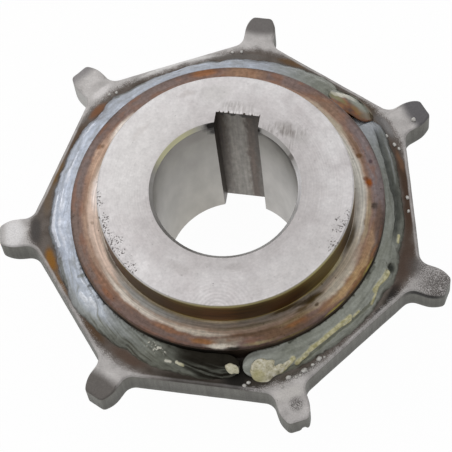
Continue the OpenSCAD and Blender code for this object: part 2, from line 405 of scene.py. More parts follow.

# %% [markdown]
# The ledge round the nose took the heat of the weld. Steel oxidises in thin films whose colour
# follows the temperature: straw, then brown, purple and grey towards the weld. A ramp over the
# radius gives that order, wavered by noise, and marks by angle give its uneven patches. One pale
# mark near the weld, at 277 degrees, is a painted highlight.

# %% Heat colours on the ledge
waver = remap(tree, grainy(tree, at["ring"], 0.16, 4.0), 0, 1, -1.5, 1.5)
heat_r = calc(tree, "ADD", at["r"], waver)
heat_f = remap(tree, heat_r, nose_r, shoulder_r)
tint = ramp(tree, heat_f, [
    (0.0, "#A8A299"), (1.0, "#5A4A44"), (0.18, "#B8AB9E"), (0.36, "#B59E8C"), (0.52, "#967A68"),
    (0.66, "#846C62"), (0.84, "#75625C")])
tint = ring_marks(tree, at, tint, [
    (22, 42.0, 30, 2.3, "#C6C3BB", 0.95),
    (355, 42.2, 14, 1.8, "#DAD5CB", 0.92),
    (0, 44.4, 12, 1.0, "#A8997F", 0.8),
    (20, 47.6, 28, 2.9, "#7B7070", 0.95),
    (34, 44.6, 9, 1.2, "#7E6655", 0.8),
    (48, 43.8, 8, 1.5, "#ABA392", 0.8),
    (58, 44.6, 8, 1.2, "#AFA08F", 0.8),
    (55, 46.9, 10, 2.2, "#8A705F", 0.85),
    (74, 47.5, 10, 3.0, "#7F6E69", 0.8),
    (92, 47.5, 9, 3.0, "#96775F", 0.85),
    (108, 48, 6, 1.6, "#94623C", 0.8),
    (132, 47.5, 18, 3.2, "#7A6B66", 0.9),
    (149, 44.2, 9, 1.6, "#DED6CE", 0.9),
    (166, 45.2, 12, 1.9, "#BA9D89", 0.85),
    (175, 48.0, 22, 2.0, "#7C6E6A", 0.85),
    (196, 42.4, 26, 2.4, "#D3BCAD", 0.95),
    (178, 41.8, 13, 1.7, "#EEE3DE", 0.9),
    (214, 42.2, 12, 1.8, "#DCC4B4", 0.85),
    (205, 45.2, 20, 1.0, "#A98F7D", 0.7),
    (205, 47.8, 22, 1.9, "#7C6B63", 0.8),
    (222, 46.4, 12, 1.1, "#8E6A54", 0.7),
    (228, 47.4, 4.2, 0.9, "#8F5B36", 0.7),
    (242, 41.8, 20, 1.3, "#B1B0AC", 0.95),
    (238, 44.1, 20, 1.3, "#D6CDC2", 0.95),
    (247, 47.2, 20, 1.9, "#705E57", 0.85),
    (256, 46.0, 8, 0.9, "#96694A", 0.6),
    (266, 44.4, 14, 1.2, "#D2C8BA", 0.95),
    (270, 47.0, 6, 1.2, "#92663F", 0.85),
    (279, 46.6, 6, 1.6, "#9A9082", 0.85),
    # painted highlight on the ledge near the weld
    (277, 48.3, 6.0, 1.1, "#D0C9BC", 0.9),
    (290, 45.3, 12, 0.9, "#6B543F", 0.7),
    (291, 48.3, 6, 0.7, "#9A916D", 0.7),
    (288, 42.6, 16, 0.8, "#8D8168", 0.7),
    (301, 47.0, 12, 2.4, "#735943", 0.85),
    (306, 46.2, 5, 0.9, "#96683C", 0.7),
    (310, 44.8, 14, 1.0, "#988462", 0.8),
    (317.6, 42.6, 6, 1.3, "#5A4820", 0.95),
    (311, 43.5, 4, 0.8, "#5E4C26", 0.8),
    (314, 41.6, 7, 1.0, "#4A3A1C", 0.8),
    (329, 44.4, 16, 2.0, "#D2C9B9", 0.92),
    (333, 47.2, 18, 1.7, "#B5976F", 0.9),
    (341, 48.8, 12, 0.8, "#7F5E3C", 0.8),
    (342, 42.2, 14, 1.5, "#BFB3A0", 0.85),
    (350, 46.6, 10, 1.4, "#A5876A", 0.8),
    (1, 47.6, 8, 1.4, "#6C564A", 0.85),
    (358, 48.8, 8, 0.8, "#5A4A42", 0.8),
    (16.3, 45.0, 2.1, 1.6, "#8A4B1E", 1.0),
    (18.3, 44.2, 1.2, 1.0, "#6E3D1C", 0.8),
    (5.9, 46.0, 1.7, 1.2, "#4B413B", 0.9),
    (29.2, 44.5, 1.3, 0.9, "#66492F", 0.9),
    (25.6, 47.3, 1.0, 0.8, "#554548", 0.9),
    (196, 43.0, 0.9, 0.6, "#5C4A35", 0.45),
    (161, 46.2, 1.5, 0.8, "#7A4E2A", 0.55),
    (160, 45.4, 1.0, 0.6, "#5E4630", 0.5),
    (317, 44.6, 1.0, 0.7, "#4A3A20", 0.8),
    (281, 48.9, 3.0, 0.8, "#26211B", 0.9),
], 1.8)
print("ledge tinted,", len(tree.nodes), "nodes so far")

# %% [markdown]
# Both edges of the ledge get a line of colour: straw and dark oil along the foot of the nose, and
# on the chamfer beside the weld a thin line, yellow and bright from 303 to 341 degrees as a painted
# highlight where the chamfer faces the light, and dark further round.

# %% Edges of the ledge
tint = ring_marks(tree, at, tint, [
    (260, 40.3, 32, 0.6, "#C3B79A", 0.8),
    (275, 40.4, 8, 0.7, "#EADFC8", 0.9),
    (328, 40.3, 12, 0.6, "#B9A878", 0.8),
    (335, 40.4, 6, 0.7, "#DCD3B0", 0.9),
    (305, 40.6, 8, 0.9, "#5A4820", 0.9),
    (350, 40.7, 8, 1.1, "#57482C", 0.85),
    (216, 40.5, 8, 0.9, "#7E7468", 0.8),
    # painted highlight: the chamfer where it faces the light
    (321, 49.3, 5, 0.42, "#B0A258", 0.8),
    (331.5, 49.3, 5, 0.42, "#9C8048", 0.7),
    (341, 49.3, 4, 0.42, "#B0A258", 0.75),
    (303, 49.3, 8, 0.4, "#7E6E44", 0.6),
    (225, 49.3, 26, 0.4, "#6E5A4C", 0.7),
    (268, 49.3, 13, 0.4, "#3A3028", 0.8),
], 0.5)
print("edges tinted,", len(tree.nodes), "nodes so far")

# %% [markdown]
# Up close the ledge is streaky. The turning tool left rings of different height, and rust took
# hold in patches of a few millimetres. Both are noises: one drawn long around the axis, with rings
# about a millimetre and half a millimetre apart, and one in round patches that turn to rust brown.
# Near the weld the mottle is stronger and the rings are fainter than near the nose.

# %% Streaks and rust on the ledge
hot = remap(tree, at["r"], 43.5, 46.0)
fine = remap(tree, grainy(tree, at["mm"], 0.85, 6.0, 0.65), 0.3, 0.7, -0.20, 0.20)
mottle = remap(tree, hot, 0, 1, 0.7, 1.3)
fine = calc(tree, "MULTIPLY_ADD", fine, mottle, 1.0)
tint = scaled(tree, tint, fine)
rusty = remap(tree, ring_streaks(tree, at, 6.0, "r", 2.4, 6.0), 0.52, 0.66, 0.0, 0.45)
rusty = calc(tree, "MULTIPLY", rusty, hot)
tint = mix(tree, rusty, tint, "#8B6048")
turned = remap(tree, ring_streaks(tree, at, 20.0, "r", 0.42, 3.0), 0.3, 0.7)
lines = remap(tree, turned, 0, 1, -0.26, 0.20)
clear = remap(tree, hot, 0, 1, 1.0, 0.45)
lines = calc(tree, "MULTIPLY_ADD", lines, clear, 1.0)
broad = remap(tree, ring_streaks(tree, at, 33.0, "r", 1.25, 2.0), 0.35, 0.65, 0.91, 1.08)
lines = calc(tree, "MULTIPLY", lines, broad)
tint = scaled(tree, tint, lines)
cells = add(tree, "TexVoronoi", {"Vector": at["mm"], "Scale": 0.42}, out="Distance")
specks = remap(tree, cells, 0.06, 0.16, 0.7, 0.0)
specks = calc(tree, "MULTIPLY", specks, remap(tree, patchy, 0.46, 0.58))
tint = mix(tree, specks, tint, "#4A3A2C")
print("ledge streaked,", len(tree.nodes), "nodes")

# %% [markdown]
# The other faces of the hub: the nose wall is brown with burnt oil, the shoulder wall nearly
# black with painted shade, as it lies in a narrow gap beside the weld, the bore grey from the reamer
# with brown residue along the keyway, and the barrel behind the plate is plain turned steel. The
# bore's walls also carry painted light: they lighten towards the bottom, the right half more than
# the left. Each has its own colour, chosen by place.

# %% Nose wall and bore
low_wall = remap(tree, at["z"], ledge_z, front_z)
nose_wall = ramp(tree, low_wall, [
    (0.0, "#E0CDA2"), (1.0, "#CFC59A"), (0.045, "#9A8048"), (0.09, "#60431A"), (0.30, "#5C3B14"),
    (0.60, "#553914"), (0.84, "#6A5527"), (0.94, "#988A58")])
nose_wall = ring_marks(tree, at, nose_wall, [
    (328, 40, 14, 4, "#74672C", 0.6), (240, 40, 14, 4, "#54422C", 0.6), (216, 40, 8, 4, "#62564E", 0.75),
    (275, 40, 8, 4, "#6B431B", 0.5), (291, 40, 8, 4, "#45361C", 0.5), (90, 40, 60, 4, "#6A5E4A", 0.6),
    (350, 40, 6, 4, "#463923", 0.8)], 2.0)
smear = remap(tree, ring_streaks(tree, at, 14.0, "z", 0.77, 4.0), 0.3, 0.7, 0.7, 1.4)
nose_wall = scaled(tree, nose_wall, smear)
depth = remap(tree, at["z"], front_z, rear_z)
# Painted light in the bore: the walls lighten with depth, the right half more, and lit blends the halves.
bore_left_light = ramp(tree, depth, [
    (0.0, "#98948F"), (1.0, "#ADA9A1"), (0.12, "#A09D97"), (0.35, "#A5A29D"), (0.6, "#ABA8A2")])
bore_right_light = ramp(tree, depth, [
    (0.0, "#85827D"), (1.0, "#B8B5B1"), (0.12, "#98958F"), (0.35, "#AEABA7"), (0.6, "#BDBAB6")])
lit = remap(tree, at["x"], -14.0, 9.0)
bore_tone = mix(tree, lit, bore_left_light, bore_right_light)
veil = vec(tree, "MULTIPLY", at["mm"], (1.0, 1.0, 0.5))
veil = remap(tree, grainy(tree, veil, 0.16, 5.0), 0.35, 0.65, 0.88, 1.08)
bore_tone = scaled(tree, bore_tone, veil)
for angle, height, size, code in (
        (52, front_z - 4, 3.4, "#77726D"), (33, front_z - 3, 2.6, "#5F5A56"),
        (125, front_z - 5, 4.5, "#8E8A85")):
    far = vec(tree, "DISTANCE", at["mm"], polar(angle, bore_r, height))
    far = remap(tree, far, 0.0, size, 0.7, 0.0, interpolation_type="SMOOTHSTEP")
    bore_tone = mix(tree, far, bore_tone, code)
high = remap(tree, at["z"], front_z - 3.4, front_z - 1.6, 0.0, 0.8)
for place, low, top in ((at["x"], 6.5, 11.0), (at["y"], 7.0, 12.0)):
    high = calc(tree, "MULTIPLY", high, remap(tree, place, low, top))
bore_tone = mix(tree, high, bore_tone, "#4C4743")
print("nose wall and bore painted")

# %% [markdown]
# The keyway was broached, and oil burnt brown in its corners: two dark, ragged strips with a
# grey strip between them that lightens with depth, which is painted light. A noise drawn long in Z
# shifts the strips' borders. Further down the right-hand strip is brown, and two noises score and
# mottle the whole. The mouth is nearly black where burrs stand.

# %% Keyway
key_half_w = 7.0
key_top = bore_r + 3.8
ragged = vec(tree, "MULTIPLY", at["mm"], (0.5, 0.5, 0.12))
ragged = grainy(tree, ragged, 1.6, 4.0)
key_x = remap(tree, ragged, 0, 1, -2.1, 2.1)
key_x = calc(tree, "ADD", at["x"], key_x)
key_f = remap(tree, key_x, -key_half_w, key_half_w)
strips = ramp(tree, key_f, [
    (0.0, "#3C322A"), (1.0, "#3E362F"), (0.14, "#44392F"), (0.28, "#77726B"), (0.5, "#807C76"),
    (0.60, "#7A756E"), (0.69, "#473B32"), (0.86, "#3E342C")])
# painted light: the keyway lightens with depth
keyway_depth_light = remap(tree, depth, 0.05, 0.75, 0.0, 0.32)
key_tone = mix(tree, keyway_depth_light, strips, "#A9A59F")
brown = calc(tree, "SUBTRACT", key_x, 3.2)
brown = calc(tree, "ABSOLUTE", brown)
brown = remap(tree, brown, 0.6, 1.9, 0.55, 0.0)
brown = calc(tree, "MULTIPLY", brown, remap(tree, depth, 0.15, 0.5))
key_tone = mix(tree, brown, key_tone, "#5C4A3F")
scored = vec(tree, "MULTIPLY", at["mm"], (1.1, 1.0, 0.05))
scored = remap(tree, grainy(tree, scored, 1.0, 4.0), 0.35, 0.65, 0.84, 1.12)
stained = vec(tree, "MULTIPLY", at["mm"], (1.0, 1.0, 0.5))
stained = remap(tree, grainy(tree, stained, 0.75, 5.0, 0.65), 0.35, 0.65, 0.80, 1.16)
scored = calc(tree, "MULTIPLY", scored, stained)
key_tone = scaled(tree, key_tone, scored)
burrs = remap(tree, grainy(tree, at["mm"], 0.55, 4.0), 0.35, 0.65, 0.0, 2.4)
burrs = calc(tree, "ADD", at["z"], burrs)
blot = remap(tree, burrs, front_z - 0.3, front_z + 0.9, 0.0, 0.92)
key_tone = mix(tree, blot, key_tone, "#241F1B")
wall_left = calc(tree, "LESS_THAN", at["x"], 0.03 - key_half_w)
key_tone = mix(tree, wall_left, key_tone, "#4B4138")
print("keyway painted,", len(tree.nodes), "nodes")

# %% [markdown]
# The keyway is told apart by its width and its height above the axis, the bore by its radius.
# Round the bore's mouth runs a chamfer, bright or dull by turns, as the light falls on it.

# %% Mouth of the bore
cut = calc(tree, "GREATER_THAN", at["y"], bore_r - 1.4)
for value, limit in ((calc(tree, "ABSOLUTE", at["x"]), key_half_w + 0.03), (at["y"], key_top + 0.05)):
    cut = calc(tree, "MULTIPLY", cut, calc(tree, "LESS_THAN", value, limit))
inside = calc(tree, "LESS_THAN", at["r"], bore_r + 0.06)
mouth = calc(tree, "LESS_THAN", at["r"], bore_r + 1.19)
mouth_tone = mix(tree, cloud, "#A9A6A2", "#C2BFBC")
mouth_tone = ring_marks(tree, at, mouth_tone, [
    (145, 23, 24, 9, "#F0ECC2", 0.95), (56, 23, 12, 9, "#C2BFBC", 0.85), (36, 23, 3, 9, "#77726E", 0.8),
    (8, 23, 20, 9, "#FAF8FA", 0.95), (270, 23, 16, 9, "#E4E2E1", 0.85), (308, 23, 20, 9, "#F0EEED", 0.85),
    (336, 23, 14, 9, "#F4F2F2", 0.9)], 1.0)
print("mouth of the bore painted")

# %% [markdown]
# Dark patches where burrs were burnt stand at both corners of the keyway's mouth, and small nicks
# run along its upper edge.

# %% Burnt corners and nicks
burnt = None
for spot, size in (
        ((-7.9, 21.5, front_z - 1.2), 3.1), ((-7.2, 21.6, front_z - 3.8), 2.3),
        ((7.2, 22.4, front_z - 1.4), 2.2), ((7.0, 24.6, front_z - 1.0), 1.8)):
    far = vec(tree, "DISTANCE", at["mm"], spot)
    far = calc(tree, "ADD", far, remap(tree, ragged, 0, 1, -1.2, 1.2))
    here = remap(tree, far, size * 0.45, size, 0.95, 0.0)
    burnt = here if burnt is None else calc(tree, "MAXIMUM", burnt, here)
burnt = calc(tree, "MULTIPLY", burnt, calc(tree, "LESS_THAN", at["z"], front_z - 0.05))
nicks = grainy(tree, add(tree, "CombineXYZ", {0: at["x"]}), 0.8, 3.0)
nicks = remap(tree, nicks, 0.48, 0.70, key_top - 0.02, key_top + 1.1)
nicks = calc(tree, "LESS_THAN", at["y"], nicks)
nicks = calc(tree, "MULTIPLY", nicks, calc(tree, "GREATER_THAN", at["y"], key_top - 0.1))
across_x = calc(tree, "LESS_THAN", calc(tree, "ABSOLUTE", at["x"]), key_half_w + 0.1)
nicks = calc(tree, "MULTIPLY", nicks, across_x)
print("burnt corners added,", len(tree.nodes), "nodes")

# %% [markdown]
# Each face of the hub is told apart by where it lies, by radius and by height. The colours are
# laid over one another in order, so that a later place covers an earlier one.

# %% Colours chosen by place
barrel = mix(tree, cloud, "#9C9894", "#B5B2AE")
on_ledge = calc(tree, "GREATER_THAN", at["r"], nose_r + 0.05)
off_nose = calc(tree, "GREATER_THAN", at["r"], nose_r - 0.04)
on_wall = calc(tree, "GREATER_THAN", at["z"], ledge_z + 0.03)
on_wall = calc(tree, "MULTIPLY", off_nose, on_wall)
on_skirt = calc(tree, "GREATER_THAN", at["r"], shoulder_r - 0.08)
behind = calc(tree, "LESS_THAN", at["z"], plate_front)
# Painted shade: the shoulder wall is dark, nearly black on the near side; brown under the glass.
skirt_shade = mix(tree, cloud, "#4A3C32", "#6A584A")
skirt_shade = ring_marks(tree, at, skirt_shade, [
    (266, 49.5, 18, 9, "#1F1B17", 0.95),
    (51, 49.5, 8, 9, "#86592E", 0.9),
], 1.0)
colour = face
for where, tone in (
        (nicks, "#4A423B"), (mouth, mouth_tone), (on_ledge, tint), (on_wall, nose_wall),
        (on_skirt, skirt_shade), (behind, barrel), (inside, bore_tone), (cut, key_tone), (burnt, "#1B1613")):
    colour = mix(tree, where, colour, tone)
print("hub colours chosen by place,", len(tree.nodes), "nodes")

# %% [markdown]
# A turned face has fine concentric grooves from the tool. On this one they are too fine to see
# except as a soft sheen, so they are drawn 0.8 mm apart and very shallow on the ledge and face.
# The steel is bare, so its surface is mostly metallic, and a little rougher where it is oxidised.

# %% Surface of the hub
groove_pitch = 0.8
grooves = calc(tree, "MULTIPLY", at["r"], 2 * math.pi / groove_pitch)
grooves = calc(tree, "SINE", grooves)
grooves = calc(tree, "MULTIPLY", grooves, 0.10)
uneven = grainy(tree, at["mm"], 0.7, 4.0)
height = calc(tree, "ADD", grooves, uneven)
height = calc(tree, "MULTIPLY_ADD", turned, 0.5, height)
height = calc(tree, "MULTIPLY_ADD", pits, -2.0, height)
normal = add(tree, "Bump", {"Strength": 0.25, "Distance": 0.0001, "Height": height})
tarnish = calc(tree, "MAXIMUM", on_ledge, on_wall)
rough = remap(tree, tarnish, 0, 1, 0.42, 0.46)
surface(tree, {"Base Color": colour, "Metallic": 0.85, "Roughness": rough, "Normal": normal})
hub = frame["nodes"]["hub"]
hub.data.materials.clear()
hub.data.materials.append(hub_steel)
print("hub finished:", len(tree.nodes), "nodes")

# %% [markdown]
# ## The toothed plate
# The plate was flame-cut from flat bar and blasted, so its edges are rounded and slightly wavy,
# and its tips are worn thin. A bevel on the solid would give every edge the same radius. Here the
# outline is drawn again from the same few sizes, and the plate is built as rows that run from
# the hole over the front face, round the edge and back under, so that the rounding can change
# along the edge.

# %% Outline of the plate
teeth = 7
half_pitch = math.pi / teeth
tooth_w = 10.0
tip_w = 6.0
tip_round_l = 5.8
tip_corner_r = 1.6
root_r = 4.0
draw_in = (tooth_w - tip_w) / 2
flank_r = (tip_round_l ** 2 + draw_in ** 2) / 2 / draw_in
flank_c = np.array([tooth_w / 2 - flank_r, tip_r - tip_round_l])
tip_rise = tip_round_l - tip_corner_r
tip_x = flank_c[0] + math.sqrt((flank_r - tip_corner_r) ** 2 - tip_rise ** 2)
tip_c = np.array([tip_x, tip_r - tip_corner_r])
root_y = (flat_r - tooth_w / 2 * math.sin(half_pitch)) / math.cos(half_pitch)
root_c = np.array([tooth_w / 2 + root_r, root_y + root_r * math.tan((math.pi / 2 - half_pitch) / 2)])
meet_a = math.atan2(tip_rise, tip_c[0] - flank_c[0])


def arc(centre, r, start, end, steps=24):
    """Points along an arc, in mm."""
    a = np.linspace(start, end, steps + 1)
    return centre + r * np.c_[np.cos(a), np.sin(a)]


half_tooth = np.vstack([
    arc(root_c, root_r, 1.5 * math.pi - half_pitch, math.pi), arc(flank_c, flank_r, 0, meet_a),
    arc(tip_c, tip_corner_r, meet_a, math.pi / 2)])
tooth = np.vstack([half_tooth, half_tooth[::-1] * (-1, 1)])
corners = []
for k in range(teeth):
    c, s = math.cos(2 * half_pitch * k), math.sin(2 * half_pitch * k)
    corners.append(tooth @ np.array([[c, s], [-s, c]]))
corners = np.vstack(corners)
closed = np.vstack([corners, corners[:1]])
walk = np.r_[0, np.cumsum(np.linalg.norm(np.diff(closed, axis=0), axis=1))]
columns = 980
stations = np.linspace(0, walk[-1], columns, endpoint=False)
outline = np.c_[np.interp(stations, walk, closed[:, 0]), np.interp(stations, walk, closed[:, 1])]
ahead = np.roll(outline, -1, axis=0) - np.roll(outline, 1, axis=0)
outward = np.c_[ahead[:, 1], -ahead[:, 0]] / np.linalg.norm(ahead, axis=1)[:, None]
print("outline", round(walk[-1], 1), "mm long,", columns, "columns")

# %% [markdown]
# Each column gets its own edge radius, smaller at the tips, and a small wander, because the cut
# was guided by hand. The relief thins the tips on both faces, as on the solid. One tip has lost a
# chip of two millimetres from its lower corner, so the lower edge climbs there.

# %% Rows of the plate
relief_l = 7.0
relief_d = 0.6


def tooth_reach(points):
    """How far each point reaches along the nearest tooth's own axis, in mm."""
    reach = [points @ (math.cos(a), math.sin(a)) for a in math.pi / 2 + 2 * half_pitch * np.arange(teeth)]
    return np.max(reach, axis=0)


def thinning(points):
    """How much each face drops near a tip, in mm."""
    return relief_d * np.clip((tooth_reach(points) - tip_r + relief_l) / relief_l, 0, 1.2) ** 1.3


wander = np.array([noise.noise(Vector((x, y, 0)) / 7) for x, y in outline])
wander += 0.5 * np.array([noise.noise(Vector((x, y, 9)) / 2.2) for x, y in outline])
shape = outline - outward * (0.05 + 0.05 * wander)[:, None]
tips_from = 66.0
at_tip = np.clip((tooth_reach(outline) - tips_from) / 5, 0, 1)
edge = 0.8 - 0.15 * at_tip + 0.12 * wander
hole = outline / np.linalg.norm(outline, axis=1)[:, None] * hole_r
rows, rim_marks = [], []
for f in np.r_[0, np.linspace(0.36, 1, 26)]:
    p = hole + (shape - outward * edge[:, None] - hole) * f
    rows.append(np.c_[p, plate_front - thinning(p)])
    rim_marks.append(max(0.0, f * 40 - 39))
for turn in np.radians((18, 36, 54, 72, 90)):
    p = shape - outward * (edge * (1 - math.sin(turn)))[:, None]
    rows.append(np.c_[p, plate_front - thinning(p) - edge * (1 - math.cos(turn))])
    rim_marks.append(max(0.0, math.cos(turn)))
top = rows[-1][:, 2]
low_edge = 0.45
chip_place = polar(296.9, 73.1)[:2]
chip = 2.4 * np.exp(-(np.linalg.norm(shape - chip_place, axis=1) / 0.95) ** 4)
bottom = plate_rear + thinning(shape) + low_edge + chip
for f in np.linspace(0, 1, 9)[1:]:
    rows.append(np.c_[shape, top + (bottom - top) * f])
    rim_marks.append(0.0)
for turn in np.radians((30, 60, 90)):
    p = shape - outward * ((low_edge + 0.8 * chip) * (1 - math.cos(turn)))[:, None]
    rows.append(np.c_[p, plate_rear + thinning(p) + (low_edge + chip) * (1 - math.sin(turn))])
    rim_marks.append(0.2)
for f in (0.85, 0.65, 0.4, 0.2, 0.0):
    p = hole + (shape - outward * low_edge - hole) * f
    rows.append(np.c_[p, plate_rear + thinning(p)])
    rim_marks.append(0.0)
print(len(rows), "rows of", columns)

# %% [markdown]
# A helper turns rows of points into a closed mesh and stores painted masks on its points, so
# that a material can read them. Rows that don't close on themselves get a cap at either end.

# %% Mesh from rows
def mesh_from_rows(name, rows, masks, wrap):
    """A smooth mesh object from equally long rows of mm points; wrap joins each row's ends."""
    count, size = len(rows), len(rows[0])
    points = np.vstack(rows) / 1000
    quads = []
    for i in range(count):
        for j in range(size if wrap else size - 1):
            a, b = i * size + j, i * size + (j + 1) % size
            c, d = (i + 1) % count * size + (j + 1) % size, (i + 1) % count * size + j
            quads.append((a, b, c, d))
    if not wrap:
        quads.append([i * size for i in range(count)])
        quads.append([i * size + size - 1 for i in range(count)][::-1])
    mesh = bpy.data.meshes.new(name)
    mesh.from_pydata(points.tolist(), [], quads)
    for mask, values in masks.items():
        layer = mesh.attributes.new(mask, "FLOAT", "POINT")
        layer.data.foreach_set("value", np.ravel(values).astype(np.float32))
    mesh.polygons.foreach_set("use_smooth", [True] * len(mesh.polygons))
    mesh.update()
    made = bpy.data.objects.new(name, mesh)
    bpy.context.scene.collection.objects.link(made)
    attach(made, "root")
    print(name, len(mesh.polygons), "faces")
    return made


print("meshes are made from rows of points")

# %% [markdown]
# Two curves round the plate, read off the photograph, say how it was worn: the radius at which
# the pale, blasted steel begins, and how bright the rim is rubbed. The way past that radius, in
# millimetres, and the rim become masks on the plate.

# %% The plate and its masks
blast_from = [
    (0, 59.6), (13, 58.9), (28, 59.8), (39, 60.2), (50, 59.4), (64, 58.6), (78, 59.6), (90, 60.6),
    (100, 58.6), (108, 56.6), (122, 56.6), (132, 58.4), (141, 59.6), (150, 59.6), (158, 59.0),
    (168, 59.0), (180, 60.2), (193, 63.8), (206, 59.8), (213, 57.9), (224, 57.7), (233, 59.2),
    (244, 60.4), (254, 60.4), (262, 60.2), (276, 60.2), (284, 60.2), (296, 59.8), (306, 58.6),
    (314, 57.6), (328, 57.5), (337, 59.6), (347, 62.0), (353, 61.2), (360, 59.6),
]
rim_worn = [
    (0, 0.9), (95, 0.9), (110, 1.0), (122, 1.0), (135, 0.9), (250, 0.9), (262, 0.25), (281, 0.25),
    (290, 0.9), (360, 0.9),
]
flat_points = np.vstack([r[::-1] for r in rows])
turned_to = np.degrees(np.arctan2(flat_points[:, 1], flat_points[:, 0])) % 360
margin = np.hypot(flat_points[:, 0], flat_points[:, 1]) - np.interp(turned_to, *zip(*blast_from))
worn = np.repeat(rim_marks, columns) * np.interp(turned_to, *zip(*rim_worn))
masks = {"rim": worn, "margin": margin}
plate = mesh_from_rows("toothed_plate", [r[::-1] for r in rows], masks, wrap=True)
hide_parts("sprocket_plate")

# %% [markdown]
# Blasted steel is a pale, finely grained grey. Next to the weld the plate is dark with scale and
# brown and orange oxide; the blast only reached the rim and the teeth. The border between the two
# is ragged, so a noise shifts it. Marks by angle give the patches.

# %% Blasted plate: colours of the front
plate_steel, tree = new_material("blasted steel plate")
at = ring_places(tree)
grit = remap(tree, grainy(tree, at["mm"], 2.2, 3.0, 0.7), 0.3, 0.7)
cloud = remap(tree, grainy(tree, at["mm"], 0.2, 4.0), 0.35, 0.65)
blasted = mix(tree, cloud, "#B3AFAD", "#CCC8C6")
scale_tone = mix(tree, cloud, "#574E47", "#716963")
scale_tone = ring_marks(tree, at, scale_tone, [
    (147, 57.6, 4, 1.6, "#875B3D", 0.8),
    (172, 57.6, 6, 1.3, "#7A5C33", 0.8),
    (182, 58.4, 6, 1.6, "#6F5D49", 0.7),
    (203.5, 58.0, 4.5, 2.0, "#8F6224", 0.95),
    (212, 57.4, 5, 0.9, "#7C5A34", 0.8),
    (232, 57.6, 6, 1.8, "#5A4430", 0.9),
    (246, 57.5, 7, 2.2, "#5C4A3F", 0.9),
    (268, 57.8, 14, 2.6, "#332C25", 0.95),
    (281.6, 55, 6, 8, "#1D1A16", 1.0),
    (286.4, 55, 6, 8, "#1D1A16", 1.0),
    (288, 58.5, 6, 2.2, "#3C362E", 0.9),
    (300, 59.0, 8, 1.6, "#47423A", 0.8),
    (335, 59.0, 6, 2.2, "#46403A", 0.9),
    (339.5, 58.8, 4.5, 1.7, "#2B2725", 0.95),
    (331, 58.2, 4, 1.0, "#332E2B", 0.9),
    (323, 58.0, 4, 0.8, "#433D39", 0.8),
    (350, 58.6, 9, 3.0, "#53433A", 0.9),
    (14, 57.0, 22, 2.2, "#4A372A", 0.95),
    (26, 57.4, 4, 1.0, "#7A5B45", 0.7),
    (160, 57.6, 8, 1.8, "#5F4C3C", 0.85),
    (40, 58.5, 6, 1.6, "#6E6C6B", 0.8),
    (48, 58.6, 4, 1.8, "#54483B", 0.8),
    (78, 58.0, 5, 1.5, "#6A5137", 0.85),
    (100, 57.5, 14, 1.6, "#6B6763", 0.7),
], 1.6)
print("front colours mixed")

# %% [markdown]
# The blast mask combines the margin, a ragged and a dusty noise, and the worn rim. The teeth
# stand clear of the heat and stay pale, apart from dusty spots and darker tips. Each darker tip
# is bounded by an arc struck from a point beyond it.

# %% Blast line, teeth and rim
ragged = remap(tree, grainy(tree, at["mm"], 0.55, 5.0, 0.65), 0, 1, -1.3, 1.3)
margin = add(tree, "Attribute", out="Fac", attribute_name="margin")
margin = calc(tree, "ADD", margin, ragged)
dusty = remap(tree, grainy(tree, at["mm"], 3.8, 2.0), 0.35, 0.65, -1.0, 1.0)
margin = calc(tree, "ADD", margin, dusty)
bare = remap(tree, margin, -0.9, 1.5, interpolation_type="SMOOTHSTEP")
rim = add(tree, "Attribute", out="Fac", attribute_name="rim")
rim_loss = remap(tree, grainy(tree, at["mm"], 0.12, 3.0), 0.42, 0.6, 0.7, 1.0)
rim = calc(tree, "MULTIPLY", rim, rim_loss)
bare = calc(tree, "MAXIMUM", bare, rim)
front = mix(tree, bare, scale_tone, blasted)
tip_far = 86.0
front = ring_marks(tree, at, front, [
    (193, 61.5, 5, 2.4, "#4F4B49", 0.9),
    (193, 68.6, 5, 4.0, "#E6E4E4", 0.85),
    (141.4, 61.8, 4, 1.6, "#E2DEDD", 0.8),
    (116, 58.0, 14, 0.9, "#E2E0DE", 0.8),
    (38.6, 59.2, 4, 1.2, "#8E8B8A", 0.7),
    (295.7, 64.0, 5, 2.6, "#D2CECA", 0.7),
    (347, 65.4, 4, 2.4, "#CDC9C7", 0.6),
], 1.2)
for tooth_a, near, code, strength in (
        (90, 66.3, "#716D6B", 0.95), (244.3, 66.3, "#68635F", 0.95), (38.6, 66.8, "#5F5D60", 0.9),
        (141.4, 70.4, "#858182", 0.8), (192.9, 72.2, "#A5A3A1", 0.6)):
    flat = vec(tree, "MULTIPLY", at["mm"], (1, 1, 0))
    far = vec(tree, "DISTANCE", flat, polar(tooth_a, tip_far))
    cover = remap(tree, far, tip_far - near - 1.6, tip_far - near + 1.8, strength, 0.0,
                  interpolation_type="SMOOTHSTEP")
    front = mix(tree, cover, front, code)
for tooth_a, reach, size in (
        (296.5, 67.8, 3.2), (346.5, 68.6, 8.5), (350, 62.6, 5.2), (344, 71.5, 4.0), (349, 71.5, 4.0)):
    far = vec(tree, "DISTANCE", at["mm"], polar(tooth_a, reach, plate_front))
    zone = remap(tree, far, 0.0, size, 1.0, 0.0)
    cover = calc(tree, "MULTIPLY_ADD", zone, dusty, zone)
    cover = remap(tree, cover, 0.15, 0.9, 0, 0.9)
    front = mix(tree, cover, front, "#5B5653")
print("front done,", len(tree.nodes), "nodes")

# %% [markdown]
# The cut sides carry drag lines, the fine upright ridges of a torch cut, about a millimetre
# apart. They run through the plate's thickness, so a noise stretched along Z draws them. The back
# is plain blasted steel with some scale left on it. The side at 147 degrees is lightened as painted
# light, and one side gets a painted shadow under its rim; a mask painted white on black says where.

